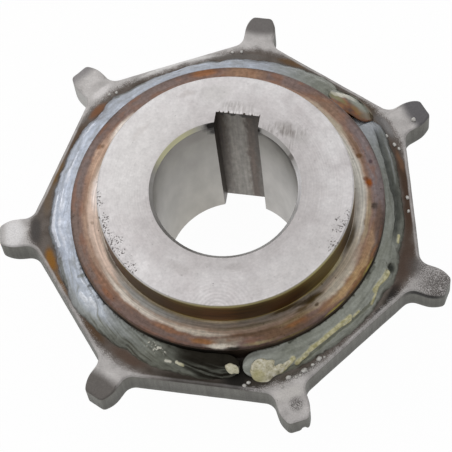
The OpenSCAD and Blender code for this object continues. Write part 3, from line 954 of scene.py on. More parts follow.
# %% Cut sides, back and surface
drag = vec(tree, "MULTIPLY", at["mm"], (1, 1, 0.06))
drag = remap(tree, grainy(tree, drag, 0.9, 3.0), 0.3, 0.7)
side = mix(tree, drag, "#7B7974", "#908F8A")
band = remap(tree, at["z"], plate_rear, plate_front)
band = ramp(tree, band, [
    (0.0, "#A2A29E"), (1.0, "#ECECEA"), (0.10, "#C6C6C2"), (0.3, "#BEBEBA"), (0.6, "#D0D0CC"),
    (0.86, "#DCDCD8")])
side = mix(tree, 1.0, side, band, blend_type="MULTIPLY")
# painted light: the cut side at 147 degrees, lightened
side = ring_marks(tree, at, side, [(147, 66, 4, 8, "#C4C2BF", 0.8)], 1.0)
# painted shadow under the rim of one side, at 343 degrees
under_rim = remap(tree, at["z"], plate_front - 3.0, plate_front - 2.1, 0.0, 1.0)
rim_shadow_mask = ring_marks(tree, at, "#000000", [(343.5, 67, 4, 8, "#FFFFFF", 1.0)], 1.0)
under_rim = calc(tree, "MULTIPLY", under_rim, rim_shadow_mask)
side = mix(tree, under_rim, side, "#1C1816")
up_z = add(tree, "SeparateXYZ", {0: add(tree, "TexCoord", out="Normal")}, out=2)
is_front = remap(tree, up_z, 0.25, 0.6)
is_back = remap(tree, up_z, -0.6, -0.3, 1.0, 0.0)
back_tone = mix(tree, cloud, "#7C7975", "#A19D99")
colour = mix(tree, is_front, side, front)
colour = mix(tree, is_back, colour, back_tone)
speck = remap(tree, grit, 0, 1, 0.84, 1.10)
colour = scaled(tree, colour, speck)
height = calc(tree, "MULTIPLY_ADD", drag, 0.6, grit)
normal = add(tree, "Bump", {"Strength": 0.35, "Distance": 0.00015, "Height": height})
surface(tree, {"Base Color": colour, "Metallic": 0.7, "Roughness": 0.55, "Normal": normal})
plate.data.materials.append(plate_steel)
print("plate finished:", len(tree.nodes), "nodes")

# %% [markdown]
# ## The weld
# The bead was laid by hand in two runs, a long one and a short one that closes the ring. It is
# built as cross-sections along the ring, like the solid, but five to seven times as fine. Laps
# are places where the weld pooled or drew in: angle, half width in degrees, swell in mm.

# %% Sizes of the bead
weld_leg = 7.0
weld_crown = 0.9
station_a = 0.22
end_a = 5.0
nose_a = 5.4
weld_r = 53.0
across_l = 8.6
across = np.linspace(0, 1, 46)
long_laps = [
    (64, 7, 0.9), (74, 6, 0.3), (102, 3, -0.5), (118, 13, -0.9), (141, 4, 1.0), (148, 3, -0.5),
    (156, 4, 0.4), (170, 2, -0.4), (192, 6, 0.8), (201, 3, -0.9), (222, 5, 0.9), (245, 3, -0.9),
    (262, 5, -0.3),
]
short_laps = [
    (290.5, 5, 1.4), (299, 5, 0.6), (338, 2, -0.4), (343, 4, 0.8), (355, 5, -0.8), (374, 11, -1.6),
    (399, 5, 0.9),
]
print("bead sections have", len(across), "points")

# %% [markdown]
# All detail is drawn on the unrolled face of the bead, in millimetres along the ring and across.
# A few soft shapes are enough for it: a bell, a step, a stretch between two angles, noise, and
# ragged ribbons along a path.

# %% Soft shapes on the bead
def bell(off, width, power=2):
    """1 where the offset is 0, falling off softly over the width."""
    return np.exp(-(off / width) ** power)


def bumps(a, places):
    """Sum of soft bumps along the ring: angle, half width in degrees, height."""
    return sum(h * bell(a - c, w) for c, w, h in places)


def wavy(points, size, seed):
    """Smooth noise from -1 to 1 at each point, with lumps of the given size in mm."""
    return np.array([noise.noise(Vector((x / size, y / size, seed))) for x, y in points])


def soft(x, low, high):
    """A smooth step from 0 to 1 between low and high."""
    f = np.clip((x - low) / (high - low), 0, 1)
    return f * f * (3 - 2 * f)


def between(a, rise_from, rise_to, fall_from, fall_to):
    """1 along a stretch of angles that starts and ends softly."""
    return soft(a, rise_from, rise_to) * (1 - soft(a, fall_from, fall_to))


def ribbon(flat, path, half_w, seed, stretch=1.0):
    """A ragged band: 1 on a path of angles and mm across, 0 beyond half_w; stretch sets its grain."""
    path = [(math.radians(a) * weld_r, u) for a, u in path]
    far = np.full(len(flat), 1e3)
    for (x0, y0), (x1, y1) in zip(path[:-1], path[1:]):
        dx, dy = x1 - x0, y1 - y0
        f = np.clip(((flat[:, 0] - x0) * dx + (flat[:, 1] - y0) * dy) / (dx * dx + dy * dy), 0, 1)
        far = np.minimum(far, np.hypot(flat[:, 0] - x0 - f * dx, flat[:, 1] - y0 - f * dy))
    near = far < half_w * 2
    ragged = np.zeros(len(flat))
    drawn = flat[near] * (stretch, 1)
    ragged[near] = 0.35 * wavy(drawn, 1.3, seed) + 0.25 * wavy(drawn, 0.6, seed + 3)
    return soft(1.15 - far / half_w + ragged, 0.0, 0.45)


def ribbons(flat, seed, bands, stretch=1.0):
    """The strongest of several bands, each given by its half width and then its path."""
    return np.max([ribbon(flat, path, half_w, seed, stretch) for half_w, *path in bands], axis=0)


print("soft shapes ready, a bell is", round(bell(1.0, 1.0), 2), "at its width")

# %% [markdown]
# One function lays a run. It sweeps the crowned section along the ring, frays its toe, tears its
# upper border a little and rounds both ends. What lies on the face comes from a second function
# for each run, as a height and as masks for everything that also has a colour.

# %% One run of weld
sunk = 0.02
nose_turns = np.radians((10, 20, 30, 40, 50, 60, 68, 75, 81, 86))


def bead(name, start, end, laps, node, detail):
    """One run of weld: detail gives the height and the masks for angle, across and unrolled place."""
    a = np.linspace(start + nose_a, end - nose_a, int((end - start) / station_a))
    d = np.clip(np.minimum(a - start - nose_a, end - nose_a - a) / end_a, 0, 1)
    size = 0.90 + 0.10 * np.sqrt(1 - (1 - d) ** 2)
    line = np.c_[np.radians(a) * weld_r, 0 * a]
    leg = (weld_leg + bumps(a, laps)) * size
    frayed = (0.34 * wavy(line, 2.6, 3.3) + 0.22 * wavy(line, 1.1, 5.3)) * size
    rise = (weld_rise - 0.35) * size
    torn = (0.2 + 0.5 * bell(a - 227, 24)) * np.abs(wavy(line, 2.6, 9.7)) - 0.15 * wavy(line, 4.2, 7.7)
    A, T = np.meshgrid(a, across, indexing="ij")
    flat = np.c_[(np.radians(A) * weld_r).ravel(), (T * across_l).ravel()]
    lift, masks = detail(A.ravel(), flat[:, 1], flat)
    hump = weld_crown * size[:, None] * np.sin(np.pi * T)
    lift = lift.reshape(A.shape) * np.clip(np.sin(np.pi * T) * 2.5, 0, 1) * size[:, None]
    r = shoulder_r + leg[:, None] * T + hump * 0.6 + lift * 0.6 + frayed[:, None] * T ** 5
    z = rise[:, None] * (1 - T) + hump * 0.8 + lift * 0.8 - torn[:, None] * (1 - T) ** 9
    z = np.clip(z, sunk, weld_rise)
    sections = [np.vstack([[[shoulder_r, -sunk]], np.c_[p, q], [[p[-1], -sunk]]]) for p, q in zip(r, z)]
    stations = list(zip(a, sections, range(len(a))))
    for turn in nose_turns:
        for i, way in ((0, -1), (len(a) - 1, 1)):
            heart = sections[i][1:-1].mean(axis=0) * (1, 0.8)
            shrunk = heart + (sections[i] - heart) * math.cos(turn) ** 0.95
            place = 0 if way < 0 else len(stations)
            stations.insert(place, (a[i] + way * nose_a * math.sin(turn), shrunk, i))
    rows = []
    for angle, p, _ in stations:
        turn = math.radians(angle)
        rows.append(np.c_[p[:, 0] * math.cos(turn), p[:, 0] * math.sin(turn), p[:, 1] + plate_front])
    source = [i for _, _, i in stations]
    masks["toe"] = soft(flat[:, 1], 7.4, 8.6) * (0.6 + 0.5 * wavy(flat, 2.5, 31))
    shaped = {m: v.reshape(A.shape)[source] for m, v in masks.items()}
    padded = {m: np.vstack([v[:, :1].T, v.T, v[:, -1:].T]) for m, v in shaped.items()}
    made = mesh_from_rows(name, list(np.array(rows).transpose(1, 0, 2)), padded, wrap=False)
    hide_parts(node)
    return made


print("each end is rounded in", len(nose_turns), "steps")

# %% [markdown]
# The long run is blue-grey and wet-looking on the left, then greener, and buried in black soot at
# its end. Its metal froze in strings that lean across the bead and wrap round a fold at the lower
# left. Creases lie between the strings, and a groove runs along the run's left part.

# %% Strings of the long run
def long_strings(a, u, flat):
    """Strength of the streaks, the strings themselves, their creases and the groove."""
    along = flat[:, 0]
    lean = np.interp(a, [150, 200, 215, 262], [0.02, 0.05, 0.20, 0.24])
    drift = lean * (along - math.radians(205) * weld_r)
    bent = u - drift + 0.5 * wavy(flat * (0.5, 1), 4.5, 1.5)
    fold = np.hypot((along - math.radians(222.5) * weld_r) / 2.0, u - 3.9)
    wrapped = bell(fold, 2.7, 4)
    bent = bent * (1 - wrapped) + (fold + 0.3 * wavy(flat, 3.0, 1.9)) * wrapped
    streaky = 0.45 + 0.75 * bell(a - 230, 24)
    strings = wavy(np.c_[0.05 * along, bent], 0.85, 21) + 0.5 * wavy(np.c_[0.08 * along, bent], 0.42, 23)
    crease = soft(-strings, 0.22, 0.6) * bell(a - 234, 22) * soft(u, 1.5, 4.0)
    groove = bell(u - 5.1 - 0.7 * np.sin(a / 7), 0.8) * between(a, 136, 150, 192, 204)
    groove = groove * soft(wavy(flat * (0.25, 0.6), 2.2, 19), -0.5, 0.3)
    return streaky, strings, crease, groove


print("strings of the long run ready")

# %% [markdown]
# Pale ribbons are painted highlights on the bead, and dull ones lie where scale stayed. Towards the
# end, sparks of cream slag stick out of the soot, which is thinner where strings stand up. A black
# fringe of painted shade hangs from the shoulder's wall, where the bead meets it.

# %% Ribbons and soot of the long run
def long_ribbons(flat, strings):
    """Painted highlight ribbons and dull ribbons on the long run."""
    highlight_ribbons = ribbons(flat, 4.1, [
        (0.9, (181.5, 5.6), (186.3, 6.2), (191, 6.9), (197.7, 7.3)),
        (0.6, (164.6, 3.9), (169.7, 3.6), (173.9, 3.3)),
        (0.4, (179.5, 3.6), (186, 3.9)),
        (0.8, (190, 5.4), (195, 5.8), (200, 6.0)),
        (0.6, (220, 4.0), (223.5, 3.7)),
        (0.35, (216, 1.4), (218, 1.5)),
        (0.5, (224, 2.4), (228, 2.7)),
        (0.6, (152, 4.6), (158, 5.4)),
        (0.6, (107, 4.8), (118, 5.4)),
        (0.5, (147, 7.4), (154, 7.8)),
    ])
    dull = ribbons(flat, 8.6, [
        (0.9, (205, 6.6), (214, 7.6)), (1.3, (129, 6.8), (139, 7.0)), (0.8, (101, 6.9), (109, 6.9))])
    dull = np.maximum(dull, ribbon(flat, [(188, 8.0), (199, 8.2)], 0.6, 8.1))
    dull = np.maximum(dull, ribbon(flat, [(214.5, 2.2), (215.4, 0.4)], 0.6, 8.3))
    return highlight_ribbons * soft(strings, -0.45, 0.35), dull


def long_soot(a, u, flat, strings):
    """Slag and soot at the end of the long run, and a fringe of painted shade along the shoulder's wall.
    """
    sparks = soft(wavy(flat, 0.6, 14.1), 0.2, 0.36)
    slag = sparks * soft(1 - np.hypot((a - 253.4) / 5.0, (u - 2.5 - 0.1 * (a - 253)) / 1.7), 0.0, 0.3)
    slag = np.maximum(slag, ribbons(flat, 14.4, [
        (0.5, (258.4, 5.2), (259.8, 5.1)), (0.5, (262, 4.7), (264.2, 5.1)),
        (0.3, (254.4, 2.0), (255.4, 1.9))]))
    soot_and_shade = soft(a - 0.15 * u * u + 2.6 * wavy(flat * (0.5, 1), 2.2, 6.1), 250.5, 265.5) * (1 - slag)
    thin = 0.55 * soft(u, 2.8, 5.6) * soft(strings + 0.4 * wavy(flat * (0.1, 1), 0.9, 41), -0.2, 0.5)
    depth = 0.45 + 1.5 * np.clip(wavy(flat * (1, 0), 1.7, 51) + 0.6 * wavy(flat * (1, 0), 0.7, 52), 0, 1)
    # painted shade: a dark fringe where the bead meets the shoulder's wall
    fringe = soft(1 - u / depth, 0.0, 0.45) * between(a, 196, 214, 258, 268)
    return slag, np.maximum(soot_and_shade * (1 - thin), 0.7 * fringe)


print("ribbons and soot of the long run ready")

# %% [markdown]
# The tone curve says how bright the long run is at each angle. Strings, ribbons and lumps then
# change both the tone and the height, and the green mask says where it cooled under slag.

# %% The long run
def long_detail(a, u, flat):
    """Height and masks of the long run."""
    streaky, strings, crease, groove = long_strings(a, u, flat)
    highlight_ribbons, dull = long_ribbons(flat, strings)
    slag, soot_and_shade = long_soot(a, u, flat, strings)
    lumps = 0.30 * wavy(flat, 4.4, 0.4) + 0.17 * wavy(flat, 1.9, 2.4) + 0.07 * wavy(flat, 0.8, 6.4)
    tone = np.interp(a, [57, 68, 78, 90, 110, 135, 150, 168, 182, 197, 208, 226, 240, 252, 266],
                     [0.42, 0.48, 0.62, 0.72, 0.74, 0.74, 0.76, 0.82, 0.86, 0.90, 0.76, 0.87, 0.44,
                      0.37, 0.36])
    inner = bell(a - 226, 18) * (0.02 * (1 - soft(u, 2.5, 4.5)) - 0.20 * soft(u, 5.0, 6.9))
    crown = bell(u - 3.8, 1.3) - 1 + soft(u, 1.4, 2.8)
    inner = inner + 0.08 * crown * between(a, 140, 160, 230, 242)
    tone = tone + inner + 0.08 * wavy(flat * (0.3, 1), 1.3, 8.2) + 0.07 * wavy(flat, 2.2, 5.2)
    tone = tone - 0.16 * crease + 0.14 * streaky * strings + 0.30 * highlight_ribbons - 0.28 * dull
    tone = tone - 0.14 * groove - 0.010 * u * (a < 240)
    lift = 0.16 * streaky * strings - 0.14 * crease + lumps - 0.35 * groove + 0.35 * slag + 0.12 * highlight_ribbons
    green = np.interp(a, [57, 70, 85, 205, 235, 255], [0.9, 0.6, 0.0, 0.0, 0.30, 0.8]) + 0.4 * crease
    green = green + 0.35 * bell(a - 232, 16) * soft(u, 3.5, 6.5)
    return lift, {"soot_and_shade": soot_and_shade, "slag": slag, "tone": tone, "valley": 0 * tone, "green": green}


long_run = bead("weld_bead_long", 54.2, 282.8, long_laps, "weld_run_long", long_detail)

# %% [markdown]
# The short run starts in a round blob with a crust of cream slag, which trails along its middle
# as a streak with a thin film beside it and a dark seam above. Soot sits in spots, and a fringe of
# painted shade runs along the shoulder's wall.

# %% Slag and soot of the short run
def short_slag(flat):
    """The slag streak of the short run, its film and the seam beside it."""
    slag = ribbons(flat, 24.1, [
        (0.75, (294, 7.6), (296.9, 7.1), (300.2, 5.2)),
        (0.8, (300.8, 7.0), (303.7, 6.2), (307.5, 4.9), (311.3, 4.4), (317, 3.9), (323.4, 4.0)),
        (1.1, (320.6, 4.1), (322.6, 4.1)),
        (0.5, (324.6, 4.8), (327, 4.8)),
        (0.45, (332, 6.6), (335.2, 5.7)),
        (1.0, (336.3, 4.9), (339.8, 4.8), (343.8, 5.0)),
        (0.6, (355.6, 6.5), (358, 6.4)),
    ], stretch=0.35)
    slag = slag * soft(wavy(flat * (0.3, 1), 1.3, 47), -0.7, -0.2)
    film_path = [(297, 6.6), (303.7, 5.8), (311.3, 4.4), (323.4, 4.0), (334, 5.8), (343.8, 5.0)]
    seam_path = [(295, 8.0), (302.8, 7.5), (309.6, 6.1), (317.4, 5.3), (326, 5.6), (334, 6.6)]
    return slag, ribbon(flat, film_path, 1.9, 48), ribbon(flat, seam_path, 0.6, 26.1)


def short_soot(a, u, flat):
    """Burnt spots and the fringe of painted shade of the short run."""
    depth = 0.3 + 1.1 * np.clip(wavy(flat * (1, 0), 1.9, 53) + 0.6 * wavy(flat * (1, 0), 0.8, 54), 0, 1)
    # painted shade: a dark fringe where the bead meets the shoulder's wall
    fringe = soft(1 - u / depth, 0.0, 0.5) * (1 - soft(a, 342, 352))
    burnt = ribbon(flat, [(300.9, 0.5), (302, 0.3)], 0.5, 27)
    burnt = np.maximum(burnt, 0.5 * ribbon(flat, [(338, 0.5), (343, 0.7)], 0.5, 28))
    sooty = soft(wavy(flat, 1.0, 29) + 0.6 * wavy(flat, 0.5, 30), 0.25, 0.75)
    burnt = np.maximum(burnt, 0.85 * sooty * bell(a - 347, 4.5) * bell(u - 4.6, 2.2))
    return np.maximum(burnt, fringe)


print("slag and soot of the short run ready")

# %% [markdown]
# The last third of the short run is two strings side by side with a valley between them, darkened
# with painted shade. A round hollow lies before it, darkened the same way, and a painted highlight
# runs along the crest of the outer string.

# %% The short run
def short_valley(a, u, flat):
    """The line between the two strings, in mm across, and the valley along it."""
    path = [(354, 4.2), (360.4, 4.7), (368.4, 5.1), (373.1, 4.6), (377.8, 3.9), (382.9, 3.7),
            (388.1, 3.9), (393.4, 4.4), (398.5, 5.2)]
    mid = np.interp(a, *zip(*path)) + 0.25 * wavy(flat, 2.4, 20)
    wide = np.interp(a, [352, 360, 368, 376, 386, 398], [0.6, 0.9, 1.4, 1.5, 1.0, 0.7])
    wide = wide * np.where(u > mid, 1.9, 1.0)
    return mid, bell(np.abs(u - mid), wide, 2.2) * between(a, 352, 360, 396, 401)


def short_detail(a, u, flat):
    """Height and masks of the short run."""
    slag, film, seam = short_slag(flat)
    burnt = short_soot(a, u, flat)
    mid, valley = short_valley(a, u, flat)
    lumps = 0.24 * wavy(flat, 4.6, 10.4) + 0.13 * wavy(flat, 1.9, 12.4) + 0.06 * wavy(flat, 0.8, 16.4)
    along = np.c_[0.10 * flat[:, 0], u + 0.4 * wavy(flat * (0.3, 1), 3.0, 44)]
    strings = wavy(along, 0.8, 45) + 0.5 * wavy(along * (1.5, 1), 0.4, 46)
    hollow = np.hypot((flat[:, 0] - math.radians(346.2) * weld_r) / 1.35, (u - 6.4) / 1.6)
    hollow = bell(hollow, 1.0, 4)
    # painted shade in the corner between the ledge and the run's start, laid into the soot mask
    corner_shade = (1 - soft(u, 1.0, 2.8)) * np.interp(a, [288, 293, 303, 311], [0.55, 0.34, 0.24, 0.0])
    outer = soft(u - mid, 0.5, 1.6) * between(a, 355, 364, 396, 402)
    # painted highlight along the crest of the outer string
    crest_highlight = outer * bell(u - mid - 2.4, 0.35) * soft(wavy(flat * (0.15, 0.5), 1.2, 37), 0.0, 0.5)
    # The pale tone at the start, up to 292 degrees, is partly the blob's paler oxide, partly painted
    # highlight.
    tone = np.interp(a, [285, 292, 300, 315, 330, 345, 360, 372, 388, 398, 407],
                     [0.68, 0.66, 0.56, 0.57, 0.57, 0.54, 0.50, 0.42, 0.44, 0.58, 0.66])
    tone = tone + 0.08 * wavy(flat * (0.3, 1), 1.4, 18.2) + 0.06 * wavy(flat, 2.2, 15.2)
    tone = tone - 0.2 * seam - 0.3 * burnt - 0.15 * outer + 0.3 * crest_highlight + 0.11 * strings + 0.07 * film
    lift = lumps + 0.07 * strings - 1.0 * valley + 0.3 * slag - 0.8 * hollow - 0.3 * seam * (1 - slag)
    green = np.interp(a, [285, 300, 350, 380, 400], [0.75, 0.85, 0.8, 0.55, 0.1]) + 0.25 * seam
    # painted shade in the valley and the hollow
    valley_and_hollow_shade = np.maximum(valley * (0.85 + 0.2 * wavy(flat, 2.5, 33)), hollow)
    soot_and_shade = np.maximum(0.6 * burnt, corner_shade)
    return lift, {"soot_and_shade": soot_and_shade, "slag": slag, "tone": tone, "valley": valley_and_hollow_shade, "green": green}


short_run = bead("weld_bead_short", 283.6, 407.8, short_laps, "weld_run_short", short_detail)

# %% [markdown]
# As-welded steel has a thin glassy oxide, blue-grey where it cooled under gas and greenish under
# slag. The slag itself is a dull, cream, glass-like crust, and soot is black and matt. The tone
# mask runs along two rows of oxide colours, blue and olive, and the green mask blends them. The
# other masks lay over them soot with painted shade along the shoulder's wall, slag, the brown toe,
# and the valley, whose dark is painted shade in the valley and the hollow.

# %% As-welded steel
weld_metal, tree = new_material("as-welded steel, oxidised")
at = ring_places(tree)
names = ("soot_and_shade", "slag", "tone", "valley", "green", "toe")
masks = {m: add(tree, "Attribute", out="Fac", attribute_name=m) for m in names}
blue = ramp(tree, masks["tone"], [
    (0.0, "#4E4F4B"), (1.0, "#E2E6F0"), (0.3, "#7B7D7B"), (0.45, "#8D9193"), (0.65, "#A6AAB1"),
    (0.85, "#C2CAD9")])
olive = ramp(tree, masks["tone"], [
    (0.0, "#3F3F35"), (1.0, "#C6C9BC"), (0.3, "#6C6D60"), (0.45, "#828476"), (0.65, "#9B9D90")])
colour = mix(tree, masks["green"], blue, olive, clamp_factor=True)
fleck = remap(tree, grainy(tree, at["mm"], 1.1, 5.0, 0.65), 0.3, 0.7, 0.84, 1.14)
colour = scaled(tree, colour, fleck)
# soot mask: soot and painted shade; valley mask: painted shade in the valley and hollow
for mask, code, strength in (
        ("toe", "#43382C", 0.75), ("valley", "#2C2F28", 0.95), ("soot_and_shade", "#24211B", 1.0)):
    cover = calc(tree, "MULTIPLY", masks[mask], strength, use_clamp=True)
    colour = mix(tree, cover, colour, code)
crust = remap(tree, grainy(tree, at["mm"], 0.9, 4.0), 0.35, 0.65)
crust_tone = mix(tree, crust, "#A6A072", "#D6D0AA")
crust_tone = ring_marks(tree, at, crust_tone, [(255, 53, 9, 6, "#DAD8D0", 0.8)], 1.0)
colour = mix(tree, masks["slag"], colour, crust_tone)
metal = remap(tree, masks["slag"], 0, 1, 0.5, 0.0)
metal = add(tree, "Mix", {0: masks["soot_and_shade"], 2: metal, 3: 0.92}, data_type="FLOAT", clamp_factor=True)
rough = remap(tree, masks["slag"], 0, 1, 0.36, 0.75)
pores = grainy(tree, at["mm"], 1.6, 4.0)
normal = add(tree, "Bump", {"Strength": 0.4, "Distance": 0.00015, "Height": pores})
surface(tree, {"Base Color": colour, "Metallic": metal, "Roughness": rough, "Normal": normal})
for run in (long_run, short_run):
    run.data.materials.append(weld_metal)
print("weld finished:", len(tree.nodes), "nodes")

# %% [markdown]
# ## Slag
# Molten slag froze as crusts on the bead: a cream lump near the end of the long run, a rough cake
# on the start of the short one that reaches out over the plate, and brown glass in the gap
# between the runs. Each is a noisy dome laid over the bead or the plate, its edge sunk a little,
# so that it sits on what carries it. A dome that climbs the shoulder's wall, as the glass does,
# sinks and thins out towards the long run, and a taper narrows it at that end.

# %% Lumps laid on the bead
climb_fades = (54, 60)


def bead_surface(angle, u, laps, size, climb):
    """Radius, height and outward direction of the bead or of the plate beyond its toe."""
    leg = (weld_leg + bumps(angle, laps)) * size
    t = u / across_l
    if t >= 1:
        return shoulder_r + leg * t, 0.0, 0.0, 1.0
    hump = weld_crown * size * math.sin(math.pi * max(t, 0))
    z = weld_rise * size * (1 - t) + climb * (1 - t) ** 3 + hump * 0.8
    return shoulder_r + leg * t + hump * 0.6, z, 0.6, 0.8


def lump(angle, u, half_l, half_w, thick, seed, laps=(), size=1.0, turn=0.0, rough=0.35,
         ridge=None, square=2.0, climb=0.0, taper=0.0):
    """Points and faces of one dome, in metres; a ridge is a path of angles and mm across."""
    rings, sides = 16, 44
    points, faces = [], []
    for i in range(1, rings + 1):
        f = i / rings
        for j in range(sides):
            way = 2 * math.pi * j / sides
            cw, sw = math.cos(way), math.sin(way)
            edge = f * (1 + 0.28 * noise.noise(Vector((1.4 * cw, 1.4 * sw, seed))))
            edge /= (abs(cw) ** square + abs(sw) ** square) ** (1 / square)
            dx = half_l * edge * cw
            dy = half_w * edge * sw * (1 - taper * max(0, edge * cw) ** 1.5)
            s = dx * math.cos(turn) - dy * math.sin(turn)
            v = dx * math.sin(turn) + dy * math.cos(turn)
            here = angle + math.degrees(s / weld_r)
            fade = soft(here, *climb_fades) if climb else 0.0
            r, z, nr, nz = bead_surface(here, u + v, laps, size, climb - (climb + 0.3) * fade)
            knob = noise.noise(Vector((s * 1.1, v * 1.1, seed)))
            knob += 0.6 * noise.noise(Vector((s * 2.3, v * 2.3, seed + 4)))
            h = thick * (math.sqrt(1 - f * f) * (1 + rough * knob) - 0.15) * (1 - 0.75 * fade)
            a = math.radians(here)
            if ridge:
                h += 0.22 * ribbon(np.array([[a * weld_r, u + v]]), ridge, 1.0, 3.5)[0]
            r += nr * h
            points.append((r * math.cos(a) / 1000, r * math.sin(a) / 1000,
                           (plate_front + z + nz * h) / 1000))
    for i in range(rings - 1):
        for j in range(sides):
            k = (j + 1) % sides
            faces.append((i * sides + j, i * sides + k, (i + 1) * sides + k, (i + 1) * sides + j))
    faces += [list(range(sides))[::-1], list(range((rings - 1) * sides, rings * sides))]
    return points, faces


def join_lumps(name, shells):
    """One smooth piece from several lumps."""
    points, faces = [], []
    for shell_points, shell_faces in shells:
        faces += [[k + len(points) for k in face] for face in shell_faces]
        points += shell_points
    mesh = bpy.data.meshes.new(name)
    mesh.from_pydata(points, [], faces)
    mesh.polygons.foreach_set("use_smooth", [True] * len(mesh.polygons))
    mesh.update()
    made = bpy.data.objects.new(name, mesh)
    bpy.context.scene.collection.objects.link(made)
    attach(made, "root")
    print(name, len(shells), "lumps,", len(mesh.polygons), "faces")
    return made


print("lumps that climb fade between", climb_fades, "degrees")

# %% [markdown]
# Six lumps make the cream crusts: one on the long run, five heaped up as the cake. The glass is
# one squarish lump in the gap, with a pale ridge across it.

# %% Crusts and glass
cream = join_lumps("slag_crusts", [
    lump(280.3, 5.1, 2.2, 1.5, 0.8, 2.5, long_laps, turn=0.5),
    lump(290.1, 5.9, 4.0, 3.2, 0.75, 5.5, short_laps, rough=0.28),
    lump(290.9, 4.5, 3.0, 1.5, 0.7, 7.5, short_laps, rough=0.25),
    lump(288.7, 7.3, 2.7, 1.6, 0.6, 8.5, short_laps, rough=0.25),
    lump(293.5, 6.9, 2.6, 1.3, 0.5, 4.5, short_laps, turn=-0.3, rough=0.3),
    lump(296.4, 6.8, 2.8, 1.0, 0.45, 9.5, short_laps, turn=-0.4),
])
ridge_path = [(59, 3.7), (57, 4.9), (54.6, 6.8), (52.2, 7.8)]
gap_laps = [(50, 8, 1.8)]
glass = join_lumps("slag_glass", [
    lump(53.0, 4.6, 8.5, 5.4, 0.45, 12.5, gap_laps, size=0.91, turn=-0.05, rough=0.15,
         ridge=ridge_path, square=4.0, climb=1.7, taper=0.5),
])

# %% [markdown]
# Slag is a silicate glass full of bubbles. The crusts are dull and cream, darker in their hollows.

# %% Slag crust
slag_crust, tree = new_material("slag crust, dull silicate")
at = ring_places(tree)
bubbly = remap(tree, grainy(tree, at["mm"], 0.9, 5.0, 0.65), 0.32, 0.68)
tone = ramp(tree, bubbly, [(0.0, "#9A947A"), (1.0, "#E6E2D4"), (0.35, "#C8C1A4"), (0.65, "#D8D2BC")])
tone = ring_marks(tree, at, tone, [
    (287.6, 57.0, 3.0, 2.2, "#B5AE72", 0.6),
    (280.3, 56, 3, 3, "#DCD8BC", 0.6),
], 1.0)
normal = add(tree, "Bump", {"Strength": 0.5, "Distance": 0.0002, "Height": bubbly})
surface(tree, {"Base Color": tone, "Roughness": 0.8, "Normal": normal})
cream.data.materials.append(slag_crust)
print("slag crust finished:", len(tree.nodes), "nodes")

# %% [markdown]
# In the gap the glass is clear enough to look orange-brown and shiny, so that one is smooth and
# coloured by a slow noise. Marks give its grey, a painted reflection, the pale ridge, a painted
# highlight, and the dark borders.

# %% Slag glass
slag_glass, tree = new_material("slag glass, brown silicate")
at = ring_places(tree)
slow = remap(tree, grainy(tree, at["mm"], 0.3, 3.0), 0.35, 0.65)
tone = ramp(tree, slow, [(0.0, "#4E2A0C"), (1.0, "#86500F"), (0.5, "#6E3C0C")])
tone = ring_marks(tree, at, tone, [
    # painted reflection: grey over the middle and the end of the glass
    (50.5, 56.4, 8, 3.2, "#7D8275", 0.97),
    (59.0, 54.0, 3.2, 5.0, "#74776C", 0.95),
    (55.6, 52.0, 4.0, 1.3, "#77713F", 0.9),
    (47.5, 53.2, 3.2, 1.1, "#7E5E1E", 0.8),
    (48.5, 58.6, 9, 1.0, "#5E4632", 0.85),
    (44.8, 55.4, 1.6, 3.6, "#6A5A40", 0.85),
    (46.2, 50.6, 2.2, 1.2, "#4A2A12", 0.8),
    # painted highlight: the pale marks along the ridge
    (58.2, 52.9, 1.6, 0.8, "#C4C1AE", 0.8),
    (56.6, 53.9, 2.0, 1.1, "#D6D3C4", 0.95),
    (55.0, 55.1, 2.0, 1.1, "#D2CFC1", 0.95),
    (53.2, 56.0, 2.0, 0.9, "#C4C2B7", 0.9),
    (51.4, 57.4, 1.0, 0.7, "#3A362C", 0.9),
], 1.0)
surface(tree, {"Base Color": tone, "Roughness": 0.3, "IOR": 1.55})
glass.data.materials.append(slag_glass)
print("slag glass finished:", len(tree.nodes), "nodes")

# %% [markdown]
# ## Spatter
# Drops of weld metal flew off and stuck to the plate. They are small flattened balls, set where
# they show, sunk into the surface, and joined into one piece. Each is given by its place and its
# size in mm.

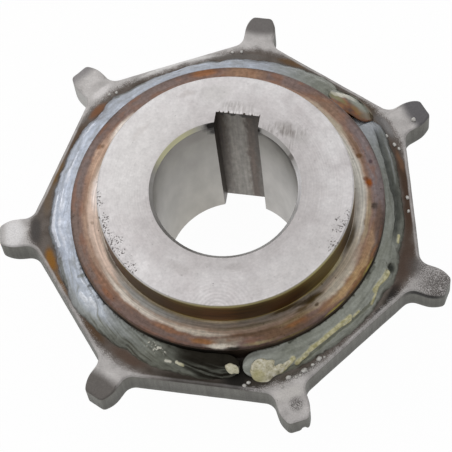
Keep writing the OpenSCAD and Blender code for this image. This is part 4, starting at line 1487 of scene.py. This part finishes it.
# %% Spatter drops
drops = [
    (46.2, 33.6, 0.6), (49.1, 30.7, 0.7), (50.7, 29.4, 0.6), (55.4, 12.4, 0.7), (56.3, 7.7, 0.6),
    (35.2, -45.4, 0.9), (26.7, -52.7, 0.9), (31.2, -49.8, 1.0), (33.4, -47.6, 0.6),
    (14.9, -55.9, 0.7), (13.8, -57.0, 0.7), (25.3, -55.9, 0.6), (-45.5, 37.9, 0.6),
    (-43.3, 38.9, 0.6), (54.1, 40.4, 0.9), (30.2, -51.4, 0.5), (36.6, -44.6, 0.5),
    (29.0, -52.2, 0.6), (-4.8, 59.0, 0.7), (-7.8, 58.4, 0.6),
]


def drop(x, y, size, seed):
    """Points and faces of one noisy, flattened drop sunk into the plate, in metres."""
    sides, rings = 20, 10
    points, faces = [], []
    slant = math.atan2(y, x) + math.pi / 2 + 0.6 * math.sin(seed)
    for i in range(rings + 1):
        lift = math.pi * i / rings
        for j in range(sides if 0 < i < rings else 1):
            way = 2 * math.pi * j / sides
            p = Vector((math.sin(lift) * math.cos(way), math.sin(lift) * math.sin(way), math.cos(lift)))
            p = p * size * (1 + 0.3 * noise.noise(p * 1.5 + Vector((seed, 0, 0))))
            dx, dy = p.x * (1.15 + 0.35 * math.sin(2 * seed)), p.y * 0.8
            px = x + (dx * math.cos(slant) - dy * math.sin(slant))
            py = y + (dx * math.sin(slant) + dy * math.cos(slant))
            pz = plate_front + 0.12 * size + 0.5 * p.z
            points.append((px / 1000, py / 1000, pz / 1000))
    last = len(points) - 1
    for j in range(sides):
        k = (j + 1) % sides
        faces += [(0, 1 + j, 1 + k), (last, last - sides + k, last - sides + j)]
        for i in range(rings - 2):
            near, far = 1 + i * sides, 1 + (i + 1) * sides
            faces.append((near + j, far + j, far + k, near + k))
    return points, faces


shells = [drop(x, y, size, 3.1 * i) for i, (x, y, size) in enumerate(drops)]
spatter = join_lumps("spatter_drops", shells)
spatter_metal, tree = new_material("spatter, weld metal drops")
mottle = grainy(tree, add(tree, "TexCoord", out="Object"), 900.0, 3.0)
tone = mix(tree, mottle, "#A5A29C", "#E2E0DC")
surface(tree, {"Base Color": tone, "Metallic": 0.4, "Roughness": 0.5})
spatter.data.materials.append(spatter_metal)
